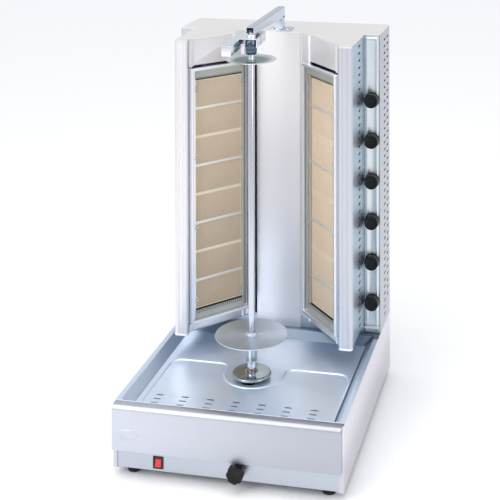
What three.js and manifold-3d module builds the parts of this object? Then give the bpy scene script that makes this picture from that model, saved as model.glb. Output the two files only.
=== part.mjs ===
// Vertical rotisserie broiler: bench-top gas grill with two folded burner wings,
// a bottom-driven spit, a drip tray with a pull-out fat drawer and a top steady arm.
// Units are millimetres, +Z up, +Y to the rear, +X to the control side (right).
// The group is shifted so that the middle of the overall depth lies at Y = 0.
import * as THREE from 'three';
import { mergeVertices } from 'three/addons/utils/BufferGeometryUtils.js';
import Module from 'manifold-3d';

const wasm = await Module();
wasm.setup();

// ---------------------------------------------------------------- driving dimensions
const HALF_W = 290;          // half of the overall width
const DEPTH = 667;           // front flange to rear face
const CENTRE_Y = 324.75;     // middle of the overall depth
const SHEET = 1.5;           // sheet steel
const GAP = 0.3;             // clearance between neighbouring pieces
const FOOT_H = 20;           // rubber foot height
const RIM_Z = 180;           // top of the drip tray rim
const TOP_Z = 1013.5;        // top of the column
const COL_Y = 507;           // front of the rear box
const STRIP_Y = COL_Y - 4;   // front of the knob strip
const WING_X = 246.5;        // outer face of a burner wing
const WING_Y = 340;          // front edge of a wing side
const WING_REAR_Y = 560;
const WING_Z = 212;          // underside of the wings
const POST_X = 209;          // inner face of a corner post
const BACK_X = 63.7;         // half width of the back plate
const BACK_Y = 500;          // front face of the back plate
const SPIT_Y = 223;          // spit axis, at X = 0
const SPIT_R = 8;
const SPIT_BORE = SPIT_R + GAP;
const HUB_R = 51;
const LOWER_DISC_R = 95;
const UPPER_DISC_R = 66;
const ROD_X = 29;            // carriage lock rod axis
const ROD_Z = 48;
const GLAND_X = -200;        // cable gland axis
const GLAND_Z = 62;
const INLET_Z = 206;         // gas inlet axis
const GAS_Y = 578;           // gas pipe axis
const KNOB_X = 269.2;
const KNOB_HEIGHTS = Array.from({ length: 6 }, (_, i) => 272 + 112.2 * i);

// faces that several sheets share
const INNER_X = HALF_W - SHEET;           // inner face of the side sheets
const PANEL_X = INNER_X - GAP;            // outer edge of panels between the sides
const LAP_X = HALF_W - SHEET / 2;         // folds end halfway into the side sheet
const REAR_SHEET = [DEPTH - SHEET, DEPTH];
const BASE_TOP = RIM_Z - SHEET - GAP;
const FLOOR_SHEET = [FOOT_H, FOOT_H + SHEET];
const COL_Z0 = RIM_Z + GAP;
const COL_Z1 = TOP_Z - SHEET - GAP;
const COL_Z = [COL_Z0, COL_Z1];

// ---------------------------------------------------------------- materials
const MATERIALS = {
  steel: { color: [0.74, 0.75, 0.78], roughness: 0.32, metalness: 1 },
  warmSteel: { color: [0.78, 0.77, 0.75], roughness: 0.38, metalness: 1 },
  tray: { color: [0.66, 0.69, 0.74], roughness: 0.18, metalness: 1 },
  chrome: { color: [0.82, 0.83, 0.85], roughness: 0.08, metalness: 1 },
  aluminium: { color: [0.86, 0.87, 0.90], roughness: 0.3, metalness: 1 },
  black: { color: [0.03, 0.035, 0.04], roughness: 0.4, metalness: 0 },
  rubber: { color: [0.03, 0.03, 0.03], roughness: 0.8, metalness: 0 },
  red: { color: [0.72, 0.06, 0.05], roughness: 0.3, metalness: 0 },
  tile: { color: [0.72, 0.62, 0.48], roughness: 0.9, metalness: 0 },
  cast: { color: [0.25, 0.26, 0.28], roughness: 0.6, metalness: 0.4 },
  brass: { color: [0.72, 0.55, 0.25], roughness: 0.35, metalness: 1 },
};

function material(name) {
  const { color, roughness, metalness } = MATERIALS[name];
  return new THREE.MeshStandardMaterial({
    color: new THREE.Color(...color), roughness, metalness,
  });
}

// ---------------------------------------------------------------- solid helpers
// Ranges are [low, high] pairs; outlines are lists of [first, second] coordinates.

// takes over the geometry: snaps it to microns, welds it and makes it a solid
function solid(geometry) {
  for (const key of Object.keys(geometry.attributes)) {
    if (key !== 'position') geometry.deleteAttribute(key);
  }
  const coords = geometry.attributes.position.array;
  for (let i = 0; i < coords.length; i++) coords[i] = Math.round(coords[i] * 1000) / 1000;
  const welded = mergeVertices(geometry, 1e-4);
  return new wasm.Manifold(new wasm.Mesh({
    numProp: 3,
    vertProperties: new Float32Array(welded.attributes.position.array),
    triVerts: new Uint32Array(welded.index.array),
  }));
}

function geometryOf(body) {
  const mesh = body.getMesh();
  const geometry = new THREE.BufferGeometry();
  geometry.setAttribute('position', new THREE.Float32BufferAttribute(mesh.vertProperties, 3));
  geometry.setIndex(new THREE.Uint32BufferAttribute(mesh.triVerts, 1));
  geometry.computeVertexNormals();
  return geometry;
}

const join = (...bodies) => bodies.reduce((sum, body) => sum.add(body));
const cut = (body, ...tools) => tools.reduce((rest, tool) => rest.subtract(tool), body);
const about = (centre, half) => [centre - half, centre + half];
const mid = ([low, high]) => (low + high) / 2;
const size = ([low, high]) => high - low;

function box(x, y, z) {
  const geometry = new THREE.BoxGeometry(size(x), size(y), size(z));
  return solid(geometry.translate(mid(x), mid(y), mid(z)));
}

// box given for the right side; sign -1 mirrors it to the left
const sideBox = (sign, x, y, z) => box(sign > 0 ? x : [-x[1], -x[0]], y, z);
const sideOutline = (sign, points) => points.map(([x, y]) => [sign * x, y]);

function extrude(points, depth) {
  const shape = new THREE.Shape(points.map(([a, b]) => new THREE.Vector2(a, b)));
  return new THREE.ExtrudeGeometry(shape, { depth, bevelEnabled: false });
}

// vertical prism over an (X, Y) outline
const prism = (points, z) => solid(extrude(points, size(z)).translate(0, 0, z[0]));

// bar along X over a (Y, Z) outline
function barX(points, x) {
  const axesToX = new THREE.Matrix4().set(0, 0, 1, x[0], 1, 0, 0, 0, 0, 1, 0, 0, 0, 0, 0, 1);
  return solid(extrude(points, size(x)).applyMatrix4(axesToX));
}

function cylZ(radius, x, y, z, segments = 24) {
  const geometry = new THREE.CylinderGeometry(radius, radius, size(z), segments);
  return solid(geometry.rotateX(Math.PI / 2).translate(x, y, mid(z)));
}

function cylY(radius, x, z, y, segments = 24) {
  const geometry = new THREE.CylinderGeometry(radius, radius, size(y), segments);
  return solid(geometry.translate(x, mid(y), z));
}

// body of revolution about a vertical axis; profile of [radius, z] from the bottom up
function turned(profile, x, y, segments) {
  const points = profile.map(([radius, z]) => new THREE.Vector2(radius, z));
  return solid(new THREE.LatheGeometry(points, segments).rotateX(Math.PI / 2).translate(x, y, 0));
}

const spitCyl = (radius, z, segments) => cylZ(radius, 0, SPIT_Y, z, segments);
const spitTurned = (profile, segments) => turned(profile, 0, SPIT_Y, segments);

// frustum between two horizontal rectangles [x0, x1, y0, y1]
function frustum(top, topZ, bottom, bottomZ) {
  const corners = ([x0, x1, y0, y1], z) => [x0, y0, z, x1, y0, z, x1, y1, z, x0, y1, z];
  const geometry = new THREE.BufferGeometry();
  geometry.setAttribute('position', new THREE.Float32BufferAttribute(
    [...corners(bottom, bottomZ), ...corners(top, topZ)], 3));
  geometry.setIndex([
    0, 2, 1, 0, 3, 2, 4, 5, 6, 4, 6, 7,
    0, 1, 5, 0, 5, 4, 1, 2, 6, 1, 6, 5,
    2, 3, 7, 2, 7, 6, 3, 0, 4, 3, 4, 7,
  ]);
  return solid(geometry);
}

function arc([a, b], radius, start, end, steps) {
  return Array.from({ length: steps + 1 }, (_, i) => {
    const angle = start + (end - start) * i / steps;
    return [a + radius * Math.cos(angle), b + radius * Math.sin(angle)];
  });
}

const root = new THREE.Group();
root.position.set(0, -CENTRE_Y, 0);

function put(name, body, materialName) {
  const mesh = new THREE.Mesh(geometryOf(body), material(materialName));
  mesh.name = name;
  root.add(mesh);
}

const SIDES = [['right', 1], ['left', -1]];

// ================================================================ base
const baseSide = (sign) => join(
  sideBox(sign, [INNER_X, HALF_W], [0, DEPTH], [FOOT_H, BASE_TOP]),
  sideBox(sign, [279, LAP_X], [0, SHEET], [FOOT_H, BASE_TOP]),
  sideBox(sign, [270, LAP_X], [0, DEPTH], FLOOR_SHEET),
);
for (const [side, sign] of SIDES) put(`base_side_${side}`, baseSide(sign), 'steel');

put('base_rear_panel', cut(
  box(about(0, PANEL_X), REAR_SHEET, [FLOOR_SHEET[1] + GAP, BASE_TOP]),
  cylY(11, GLAND_X, GLAND_Z, about(DEPTH, 6)),
), 'steel');

// floor sheet with a low front lip
put('base_bottom_plate', join(
  box(about(0, 269), [8, REAR_SHEET[0] - 2], FLOOR_SHEET),
  box(about(0, 269), [8, 8 + SHEET], [FOOT_H, FOOT_H + 6]),
), 'steel');

// front panel with its top fold, the switch opening and the lock rod hole
put('control_panel', cut(
  join(
    box(about(0, 278.6), [2, 2 + SHEET], [FLOOR_SHEET[1] + GAP, 74]),
    box(about(0, 278.6), [2, 14], [74 - SHEET, 74]),
  ),
  box([-184.3, -162.7], [-5, 8], [28.7, 55.3]),
  cylY(7, ROD_X, ROD_Z, [-5, 8]),
), 'steel');

const FOOT_TOP = FOOT_H - GAP;
const FOOT_PROFILE = [[0, 0], [15, 0], [17, 2.5], [17, FOOT_TOP], [0, FOOT_TOP]];
for (const [side, sign] of SIDES) {
  for (const [end, y] of [['front', 36], ['rear', 628]]) {
    put(`foot_${end}_${side}`, turned(FOOT_PROFILE, 248 * sign, y, 24), 'rubber');
  }
}

put('switch_bezel', cut(
  join(
    box([-187, -160], [-0.3, 1.7], [27, 57]),
    box([-184, -163], [0.5, 24], [29, 55]),
  ),
  box([-182, -165], [-4, 21], [31, 53]),
), 'black');

// [y, z]; the front face is bent at mid height
const ROCKER_PROFILE = [[-2.6, 33], [-0.8, 42], [0.4, 51], [8, 51], [8, 33]];
put('switch_rocker', barX(ROCKER_PROFILE, [-181.6, -165.4]), 'red');

// ================================================================ drip tray and fat drawer
// tapered pan hung from a flat rim, with a spit opening and a drain opening
function trayPan() {
  const bottomZ = 148;
  const top = [-276, 276, 22, 488];
  const bottom = [-251, 251, 44, 468];
  const slope = (top[1] - bottom[1]) / (RIM_Z - bottomZ);
  const overshoot = 20; // the hollow is cut this far above the rim
  const grow = ([x0, x1, y0, y1], by) => [x0 - by, x1 + by, y0 - by, y1 + by];
  const hollow = frustum(
    grow(top, slope * overshoot - SHEET), RIM_Z + overshoot,
    grow(bottom, slope * SHEET - SHEET), bottomZ + SHEET,
  );
  return cut(
    join(
      box(about(0, HALF_W), [12.6, COL_Y - 1], [RIM_Z - SHEET, RIM_Z]),
      frustum(top, RIM_Z, bottom, bottomZ),
    ),
    hollow,
    box(about(0, 18), about(SPIT_Y, 44), [140, 152]),
    box(about(0, 214), [48, 112], [140, 152]),
  );
}
put('tray_pan', trayPan(), 'tray');

// lift-out floor: sunk drain area in front, raised behind, along both edges and round the hub
function trayFloor() {
  const raisedZ = [160, 164];
  const underZ = [150, 162.4];
  const hubY = 245.5;
  const raised = join(
    box([-249, 256], [287, 457], raisedZ),
    box([-249, -236], [45, 457], raisedZ),
    box([248, 256], [45, 457], raisedZ),
    cylZ(79, 0, hubY, raisedZ, 40),
  );
  const underside = join(
    box([-247.5, 254.5], [288.5, 455.5], underZ),
    box([-247.5, -237.5], [46.5, 455.5], underZ),
    box([249.5, 254.5], [46.5, 455.5], underZ),
    cylZ(77.5, 0, hubY, underZ, 40),
  );
  const rails = join(
    box([-244, -242], [48, 458], [151.5, 163]),
    box([242, 244], [48, 458], [151.5, 160]),
  );
  const slots = [];
  for (let column = 0; column < 7; column++) {
    for (let row = 0; row < 3; row++) {
      slots.push(box(about(-203 + 66.8 * column, 9.5), about(54 + 20.25 * row, 2.3), [150, 170]));
    }
  }
  const sheet = cut(join(box([-250, 257], [44, 458], [159, 160.8]), raised), underside);
  const spitOpening = box(about(0, 17), about(SPIT_Y, 43), [150, 170]);
  return cut(join(sheet, rails), ...slots, spitOpening);
}
put('tray_floor', trayFloor(), 'tray');

// apron with rounded top edge, end returns and the trough behind it
function fatDrawer() {
  const front = -17;
  const bottom = 71;
  const foldR = 7;
  const foldCentre = [front + foldR, RIM_Z - foldR];
  const profile = [
    [front, bottom],
    ...arc(foldCentre, foldR, Math.PI, Math.PI / 2, 5),
    [12, RIM_Z], [12, RIM_Z - SHEET],
    ...arc(foldCentre, foldR - SHEET, Math.PI / 2, Math.PI, 5),
    [front + SHEET, bottom + SHEET], [-1, bottom + SHEET], [-1, bottom],
  ];
  const endReturn = (sign) => sideBox(
    sign, [286.9 - SHEET, 286.9], [front + 0.6, -1.4], [bottom + 0.4, RIM_Z - 8.6]);
  const trough = cut(
    box(about(0, 226), [-3, 132], [86, 140]),
    box(about(0, 226 - SHEET), [-3 + SHEET, 132 - SHEET], [86 + SHEET, 150]),
  );
  const web = box(about(0, 220), [front + 0.7, -2.2], [128, 128 + SHEET]);
  return join(barX(profile, about(0, 287)), endReturn(-1), endReturn(1), trough, web);
}
put('fat_drawer', fatDrawer(), 'steel');

function drawerRunner(sign) {
  const y = [12, 148];
  const bottom = 84.2;
  return join(
    sideBox(sign, [215, 244], y, [bottom, bottom + SHEET]),
    sideBox(sign, [244 - SHEET, 244], y, [bottom, 146]),
  );
}
for (const [side, sign] of SIDES) put(`drawer_runner_${side}`, drawerRunner(sign), 'steel');

// ================================================================ drive
// two angle rails tied by a bar at each end
function carriageRails() {
  const y = [140, 306];
  const top = 147.5;
  const rail = (sign) => join(
    sideBox(sign, [72.5, 86], y, [128, top]),
    sideBox(sign, [58, 73], y, [128, 131]),
  );
  return join(
    rail(-1), rail(1),
    box(about(0, 73), [y[0], y[0] + 6], [143, top]),
    box(about(0, 73), [y[1] - 6, y[1]], [143, top]),
  );
}
put('carriage_rails', carriageRails(), 'steel');

// plate with a lug hanging down to the lock rod
put('carriage', cut(
  join(
    box(about(0, 72), [168, 278], [131.5, 136]),
    box([15, 45], [168, 172], [36, 132]),
  ),
  spitCyl(14, [120, 140]),
  cylY(5.5, ROD_X, ROD_Z, [160, 180]),
), 'steel');

put('gear_motor', join(
  box(about(0, 46), [186, 266], [88, 131.2]),
  cylZ(33, 0, 232, [30, 90], 28),
  box(about(0, 12), [262, 284], [98, 122]),
), 'cast');

// stepped shaft with a socket for the spit in its upper end
put('drive_shaft', cut(
  join(
    spitCyl(12, [131.6, 173]),
    spitCyl(12.6, [172.6, 176.6]),
    spitCyl(11, [175.6, 204]),
  ),
  spitCyl(8.4, [188, 210]),
), 'chrome');

// [radius, z]
const HUB_PROFILE = [
  [0, 171], [HUB_R - 3, 171], [HUB_R, 173], [HUB_R, 177],
  [HUB_R - 2.5, 180], [HUB_R - 6, 180.6], [17, 181], [0, 181],
];
put('hub_disc', cut(spitTurned(HUB_PROFILE, 48), spitCyl(12.95, [150, 190])), 'chrome');

put('lock_rod', join(
  cylY(5, ROD_X, ROD_Z, [-9, 186], 16),
  cylY(8, ROD_X, ROD_Z, [178, 186], 16),
), 'steel');

// grip with eight rounded lobes, and a collar behind it
function lockKnob() {
  const points = 64;
  const outline = Array.from({ length: points }, (_, i) => {
    const angle = 2 * Math.PI * i / points;
    const radius = 20.4 + 1.1 * Math.cos(8 * angle);
    return [radius * Math.cos(angle), radius * Math.sin(angle)];
  });
  const grip = extrude(outline, 21).rotateX(Math.PI / 2).translate(ROD_X, -9.5, ROD_Z);
  return join(solid(grip), cylY(11, ROD_X, ROD_Z, [-10.5, -9.3], 20));
}
put('lock_knob', lockKnob(), 'black');

// ================================================================ spit
put('spit_shaft', join(
  spitCyl(SPIT_R, [190, 1020], 20),
  spitTurned([[0, 1019], [SPIT_R, 1019], [5, 1024], [0, 1024]], 20),
), 'steel');
put('spit_sleeve', cut(spitCyl(13.7, [204.4, 273.7]), spitCyl(SPIT_BORE, [190, 290])), 'steel');

// disc profiles, [radius, z]
const LOWER_DISC_PROFILE = [
  [0, 274], [LOWER_DISC_R - 1, 275], [LOWER_DISC_R, 276.2], [LOWER_DISC_R - 1, 277.4],
  [17, 277.4], [15, 283], [0, 283],
];
const UPPER_DISC_PROFILE = [
  [0, 984], [20, 984], [UPPER_DISC_R, 990.5], [UPPER_DISC_R, 992.2],
  [20, 986], [13.5, 986], [12.5, 991], [0, 991],
];
const bored = (body, z) => cut(body, spitCyl(SPIT_BORE, z));
put('lower_disc', bored(spitTurned(LOWER_DISC_PROFILE, 56), [260, 300]), 'steel');
put('upper_disc', bored(spitTurned(UPPER_DISC_PROFILE, 48), [970, 1010]), 'steel');

// ================================================================ top steady arm
// side outlines, [y, z]
const ARM = [[213, 1058], [530, 1050], [530, 1080], [213, 1075.5]];
const ARM_HOLLOW = [[205, 1060], [509, 1052.2], [509, 1077.8], [205, 1073.4]];

// hollow rail, open at its front end, on a rear block and foot, with a short slot underneath
put('top_arm', cut(
  join(
    barX(ARM, about(0, 11)),
    box(about(0, 11), [508, 530], [1014.5, 1060]),
    box(about(0, 32), [503, 560], [TOP_Z + GAP, TOP_Z + GAP + 3]),
  ),
  barX(ARM_HOLLOW, about(0, 9.2)),
  box(about(0, 4.3), [200, 246], [1050, 1064]),
), 'warmSteel');

const HEAD_FRONT = 112;
const HEAD_RISE = 0.0435; // the clamp head rises by this much per mm towards the rear

// shears a solid upwards to the rear of the head's front edge
function rise(body) {
  const shear = new THREE.Matrix4().set(
    1, 0, 0, 0,
    0, 1, 0, 0,
    0, HEAD_RISE, 1, -HEAD_FRONT * HEAD_RISE,
    0, 0, 0, 1);
  return solid(geometryOf(body).applyMatrix4(shear));
}

// hook-shaped steady, open below: wide body, long prong to the front and a short cheek
function clampHead() {
  const z = [1019, 1044];
  const cheekX = 19.2;
  const shell = cut(
    join(
      box([-58, cheekX], [246, 296], z),
      box([-46, -21], [HEAD_FRONT, 250], z),
      box([cheekX - 3, cheekX], [212, 250], z),
      box([-24, cheekX], [200, 250], [1040.5, z[1]]),
    ),
    box([-44.4, -22.6], [113.6, 290], [1010, 1042.4]),
    box([-56.4, 17.6], [250, 294.4], [1010, 1042.4]),
  );
  return cut(join(rise(shell), spitCyl(11.5, [1047.8, 1056.6])), spitCyl(4.4, [1030, 1060], 16));
}
put('clamp_head', clampHead(), 'warmSteel');

// [radius, z]
const BEARING_PROFILE = [
  [0, 1004], [12, 1004], [15, 1007], [15.6, 1022], [15, 1039], [13, 1044.2], [0, 1044.2],
];
put('top_bearing', bored(spitTurned(BEARING_PROFILE, 32), [1000, 1037]), 'chrome');

// stem, washer and hexagon head
put('clamp_bolt', join(
  spitCyl(4, [1044.8, 1063], 16),
  spitCyl(8.8, [1060.2, 1061.6]),
  spitCyl(7.6, [1061.2, 1067.5], 6),
), 'chrome');

// ================================================================ burner plane
// It stands on the line between these two [x, y] ends, given for the right side.
// "along" runs from the outer end inwards, "toward" is the offset towards the spit.
const PLANE_OUTER = [204, 344];
const PLANE_INNER = [94, 470];
const planeDx = PLANE_INNER[0] - PLANE_OUTER[0];
const planeDy = PLANE_INNER[1] - PLANE_OUTER[1];
const PLANE_LEN = Math.hypot(planeDx, planeDy);
const ALONG_X = planeDx / PLANE_LEN;
const ALONG_Y = planeDy / PLANE_LEN;

const onPlane = (along, toward) => [
  PLANE_OUTER[0] + ALONG_X * along - ALONG_Y * toward,
  PLANE_OUTER[1] + ALONG_Y * along + ALONG_X * toward,
];

function planeBox(sign, [a0, a1], [t0, t1], z) {
  const corners = [onPlane(a0, t0), onPlane(a0, t1), onPlane(a1, t1), onPlane(a1, t0)];
  return prism(sideOutline(sign, corners), z);
}

// ================================================================ column shell
const columnSide = (sign) => join(
  sideBox(sign, [INNER_X, HALF_W], [COL_Y, DEPTH], COL_Z),
  sideBox(sign, [281, LAP_X], REAR_SHEET.map((y) => y - SHEET - GAP), COL_Z),
);
for (const [side, sign] of SIDES) put(`column_side_${side}`, columnSide(sign), 'steel');

put('column_rear_panel', cut(
  box(about(0, PANEL_X), REAR_SHEET, COL_Z),
  cylY(9.5, KNOB_X, INLET_Z, about(DEPTH, 6)),
), 'steel');
put('column_floor', box(about(0, HALF_W), [COL_Y - 0.4, DEPTH], [RIM_Z - SHEET, RIM_Z]), 'steel');

// covers the rear box and both wings
const TOP_HALF = [
  [HALF_W, DEPTH], [HALF_W, STRIP_Y], [WING_X, STRIP_Y], [WING_X, WING_Y + GAP],
  [208.5, WING_Y + GAP], onPlane(PLANE_LEN + 4, -2), [BACK_X, BACK_Y - 2],
];
const TOP_OUTLINE = [...TOP_HALF, ...sideOutline(-1, TOP_HALF).reverse()];
put('top_plate', prism(TOP_OUTLINE, [TOP_Z - SHEET, TOP_Z]), 'warmSteel');

put('column_front_left', join(
  box([-PANEL_X, -WING_X - 0.6], [COL_Y, COL_Y + SHEET], COL_Z),
  box([-PANEL_X, -PANEL_X + SHEET], [COL_Y, COL_Y + 14], COL_Z),
), 'steel');

// channel with a hole for each knob stem
function knobStrip() {
  const inner = WING_X + 0.6;
  const y = [STRIP_Y, COL_Y + 10];
  const z = [196, COL_Z1];
  return cut(
    join(
      box([inner, PANEL_X], [STRIP_Y, STRIP_Y + SHEET], z),
      box([inner, inner + SHEET], y, z),
      box([PANEL_X - SHEET, PANEL_X], y, z),
    ),
    ...KNOB_HEIGHTS.map((height) => cylY(6, KNOB_X, height, [COL_Y - 10, COL_Y], 16)),
  );
}
put('knob_strip', knobStrip(), 'steel');

// tall centre plate, low wide strip under the wings and bottom fold
put('back_plate', join(
  box(about(0, BACK_X), [BACK_Y, BACK_Y + SHEET], COL_Z),
  box(about(0, 245), [BACK_Y + 3, BACK_Y + 3 + SHEET], [COL_Z0, WING_Z - 1]),
  box(about(0, BACK_X), [BACK_Y, COL_Y - 1], [COL_Z0, COL_Z0 + SHEET]),
), 'steel');

// ================================================================ burner wings
// outer side sheet and the wing floor
function wingSide(sign) {
  const front = WING_Y + 0.5;
  const floorX = WING_X - 0.7;
  const floor = [
    [floorX, front], [floorX, WING_REAR_Y], [150, WING_REAR_Y], [BACK_X + 6, BACK_Y + 6],
    onPlane(PLANE_LEN + 4, -2), onPlane(0, -2), [POST_X, front],
  ];
  return join(
    sideBox(sign, [WING_X - SHEET, WING_X], [front, WING_REAR_Y], [WING_Z, COL_Z1]),
    prism(sideOutline(sign, floor), [WING_Z, WING_Z + SHEET]),
  );
}

// rounded corner post, hollow from below and closed at the top
function cornerPost(sign) {
  const front = 321;
  const rear = WING_Y - GAP;
  const radius = 9;
  const outline = [
    [WING_X, rear], [POST_X, rear], [POST_X, front + 5], [POST_X + 3, front + 1],
    [POST_X + 8, front],
    ...arc([WING_X - radius, front + radius], radius, -Math.PI / 2, 0, 6),
  ];
  const hollow = [
    [WING_X - 2, rear - 2], [POST_X + 2, rear - 2], [POST_X + 2, front + 6],
    [WING_X - 6, front + 4], [WING_X - 2, front + 8],
  ];
  return cut(
    prism(sideOutline(sign, outline), [WING_Z - 3, TOP_Z - 1]),
    prism(sideOutline(sign, hollow), [WING_Z - 10, TOP_Z - 20]),
  );
}

// Fascia above, below and outside the burner opening, with the hinge post past its
// inner end and the strip that runs to the back plate.
function wingFascia(sign) {
  const bottom = WING_Z + 2;
  const face = [-4, -2.5];
  const hingeAlong = PLANE_LEN + 1;
  const hingeToward = -6;
  const [hingeX, hingeY] = onPlane(hingeAlong, hingeToward);
  const strip = [
    onPlane(hingeAlong + 5, hingeToward + 0.5), onPlane(hingeAlong + 5, hingeToward - 1),
    [BACK_X + 6.4, BACK_Y - 2.5], [BACK_X + 5.1, BACK_Y - 3.8],
  ];
  return join(
    planeBox(sign, [-6, PLANE_LEN - 4], face, [939.5, COL_Z1]),
    planeBox(sign, [-6, PLANE_LEN - 4], face, [bottom, FRAME_Z[0] - 4]),
    planeBox(sign, [-6, 1], face, [bottom, COL_Z1]),
    cylZ(7, sign * hingeX, hingeY, [bottom + 0.3, COL_Z1 - 0.2], 20),
    prism(sideOutline(sign, strip), [bottom, COL_Z1]),
  );
}

const FRAME_Z = [239, 934];
const TILE_Z = [272, 900];
const TILE_ALONG = [10, PLANE_LEN - 8];
const WINDOW_ALONG = [9.6, PLANE_LEN - 7.7];
const inset = ([low, high], by) => [low + by, high - by];

// hinged burner panel: deep hollow rim, open to the spit, with the tile window behind
function burnerFrame(sign) {
  const along = [-9, PLANE_LEN + 13];
  const toward = [2, 16];
  const wall = 1.6;
  return cut(
    planeBox(sign, along, toward, FRAME_Z),
    planeBox(sign, inset(along, wall), inset(toward, wall), inset(FRAME_Z, wall)),
    planeBox(sign, inset(along, 7), [10, 30], inset(FRAME_Z, 7.5)),
    planeBox(sign, WINDOW_ALONG, [-10, 5], [262, 911]),
  );
}

// box behind the tiles with four blocks on its rear face
const burnerPlenum = (sign) => join(
  cut(
    planeBox(sign, [6, PLANE_LEN - 6.5], [-34, 1.7], [258, 915]),
    planeBox(sign, [9.7, WINDOW_ALONG[1]], [-3, 5], [264, 909]),
  ),
  ...[0, 1, 2, 3].map((i) => planeBox(sign, [60, 80], [-48, -30], about(335 + 157 * i, 15))),
);

// eight tiles, one above the other, on a common core
function tilePack(sign) {
  const pitch = size(TILE_Z) / 8;
  let pack = planeBox(sign, TILE_ALONG, [-2.6, -0.6], inset(TILE_Z, -6));
  for (let i = 0; i < 8; i++) {
    const low = TILE_Z[0] + pitch * i;
    pack = join(pack, planeBox(sign, TILE_ALONG, [-1.2, 1.2], inset([low, low + pitch], 1.4)));
  }
  return pack;
}

for (const [side, sign] of SIDES) {
  put(`wing_side_${side}`, wingSide(sign), 'steel');
  put(`post_${side}`, cornerPost(sign), 'aluminium');
  put(`wing_fascia_${side}`, wingFascia(sign), 'steel');
  put(`burner_frame_${side}`, burnerFrame(sign), 'steel');
  put(`burner_plenum_${side}`, burnerPlenum(sign), 'cast');
  put(`tile_pack_${side}`, tilePack(sign), 'tile');
}

// ================================================================ gas train
const gasValve = (height) => join(
  box(about(KNOB_X, 11), [516, 572], about(height, 11)),
  box(about(KNOB_X, 6), [570, 580], about(height, 6)),
);
put('gas_manifold', join(
  cylZ(9, KNOB_X, GAS_Y, [240, 900], 16),
  ...KNOB_HEIGHTS.map(gasValve),
), 'brass');

put('gas_inlet', join(
  cylZ(8, KNOB_X, GAS_Y, [204, 239.6], 16),
  cylY(8, KNOB_X, INLET_Z, [GAS_Y, 680], 16),
), 'brass');

// skirt, raised front, pointer and stem
const gasKnob = (height) => join(
  cylY(20.8, KNOB_X, height, [480, 499], 32),
  cylY(19, KNOB_X, height, [476, 481], 32),
  box(about(KNOB_X, 1.2), [475, 478], [height + 8, height + 15]),
  cylY(4.5, KNOB_X, height, [498, 515.6], 16),
);
KNOB_HEIGHTS.forEach((height, i) => put(`gas_knob_${i + 1}`, gasKnob(height), 'black'));

// body, a hexagon nut on each side of the rear panel, and the cable
const glandPart = (radius, y, segments) => cylY(radius, GLAND_X, GLAND_Z, y, segments);
put('cable_gland', join(
  glandPart(10.4, [656, 672], 20),
  glandPart(14, [DEPTH + GAP, 675], 6),
  glandPart(14, [656, REAR_SHEET[0] - GAP], 6),
  glandPart(5, [640, 680], 14),
), 'black');

export default root;
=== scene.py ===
import math

import bpy
import bmesh
from mathutils import Matrix, Vector
from mathutils.geometry import delaunay_2d_cdt


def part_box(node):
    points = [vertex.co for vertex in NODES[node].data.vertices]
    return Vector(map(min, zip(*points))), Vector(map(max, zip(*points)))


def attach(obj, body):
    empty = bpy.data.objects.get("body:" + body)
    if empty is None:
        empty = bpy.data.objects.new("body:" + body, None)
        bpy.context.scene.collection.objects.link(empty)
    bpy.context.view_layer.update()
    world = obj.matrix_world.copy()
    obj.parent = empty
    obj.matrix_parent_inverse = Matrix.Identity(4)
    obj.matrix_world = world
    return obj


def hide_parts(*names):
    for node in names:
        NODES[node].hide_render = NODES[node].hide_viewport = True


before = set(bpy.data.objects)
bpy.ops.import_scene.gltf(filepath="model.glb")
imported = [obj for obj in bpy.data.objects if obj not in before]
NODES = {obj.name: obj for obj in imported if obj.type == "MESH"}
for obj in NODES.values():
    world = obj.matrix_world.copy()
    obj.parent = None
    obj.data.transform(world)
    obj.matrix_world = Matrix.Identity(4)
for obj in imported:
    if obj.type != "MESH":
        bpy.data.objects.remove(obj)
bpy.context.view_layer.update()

YC = 324.75  # plan Y (mm) of the row frame's Y = 0


def B(node):
    """x0, y0, z0, x1, y1, z1 of a CAD node in plan millimetres."""
    lo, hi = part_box(node)
    return lo.x * 1000, lo.y * 1000 + YC, lo.z * 1000, hi.x * 1000, hi.y * 1000 + YC, hi.z * 1000


# ------------------------------------------------------------------ mesh tools
ID = lambda x, y, z: (x, y, z)


def rrect(x0, x1, y0, y1, r, k=4):
    r = max(min(r, (x1 - x0) / 2 - 0.01, (y1 - y0) / 2 - 0.01), 0.02)
    pts = []
    for cx, cy, a0 in ((x1 - r, y0 + r, -90), (x1 - r, y1 - r, 0), (x0 + r, y1 - r, 90), (x0 + r, y0 + r, 180)):
        for i in range(k + 1):
            a = math.radians(a0 + 90 * i / k)
            pts.append((cx + r * math.cos(a), cy + r * math.sin(a)))
    return pts


def circle(cx, cy, r, n=24, a0=0.0):
    return [(cx + r * math.cos(a0 + 2 * math.pi * i / n), cy + r * math.sin(a0 + 2 * math.pi * i / n)) for i in range(n)]


def slot_pts(cx, cy, length, width, k=5, ang=0.0):
    r, h = width / 2, length / 2 - width / 2
    out = []
    for s, a0 in ((1, -90), (-1, 90)):
        for i in range(k + 1):
            a = math.radians(a0 + 180 * i / k)
            x, y = s * h + r * math.cos(a), r * math.sin(a)
            out.append((cx + x * math.cos(ang) - y * math.sin(ang), cy + x * math.sin(ang) + y * math.cos(ang)))
    return out


def inside(p, poly):
    x, y = p
    c = False
    j = len(poly) - 1
    for i in range(len(poly)):
        xi, yi = poly[i]
        xj, yj = poly[j]
        if (yi > y) != (yj > y) and x < (xj - xi) * (y - yi) / (yj - yi) + xi:
            c = not c
        j = i
    return c


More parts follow.
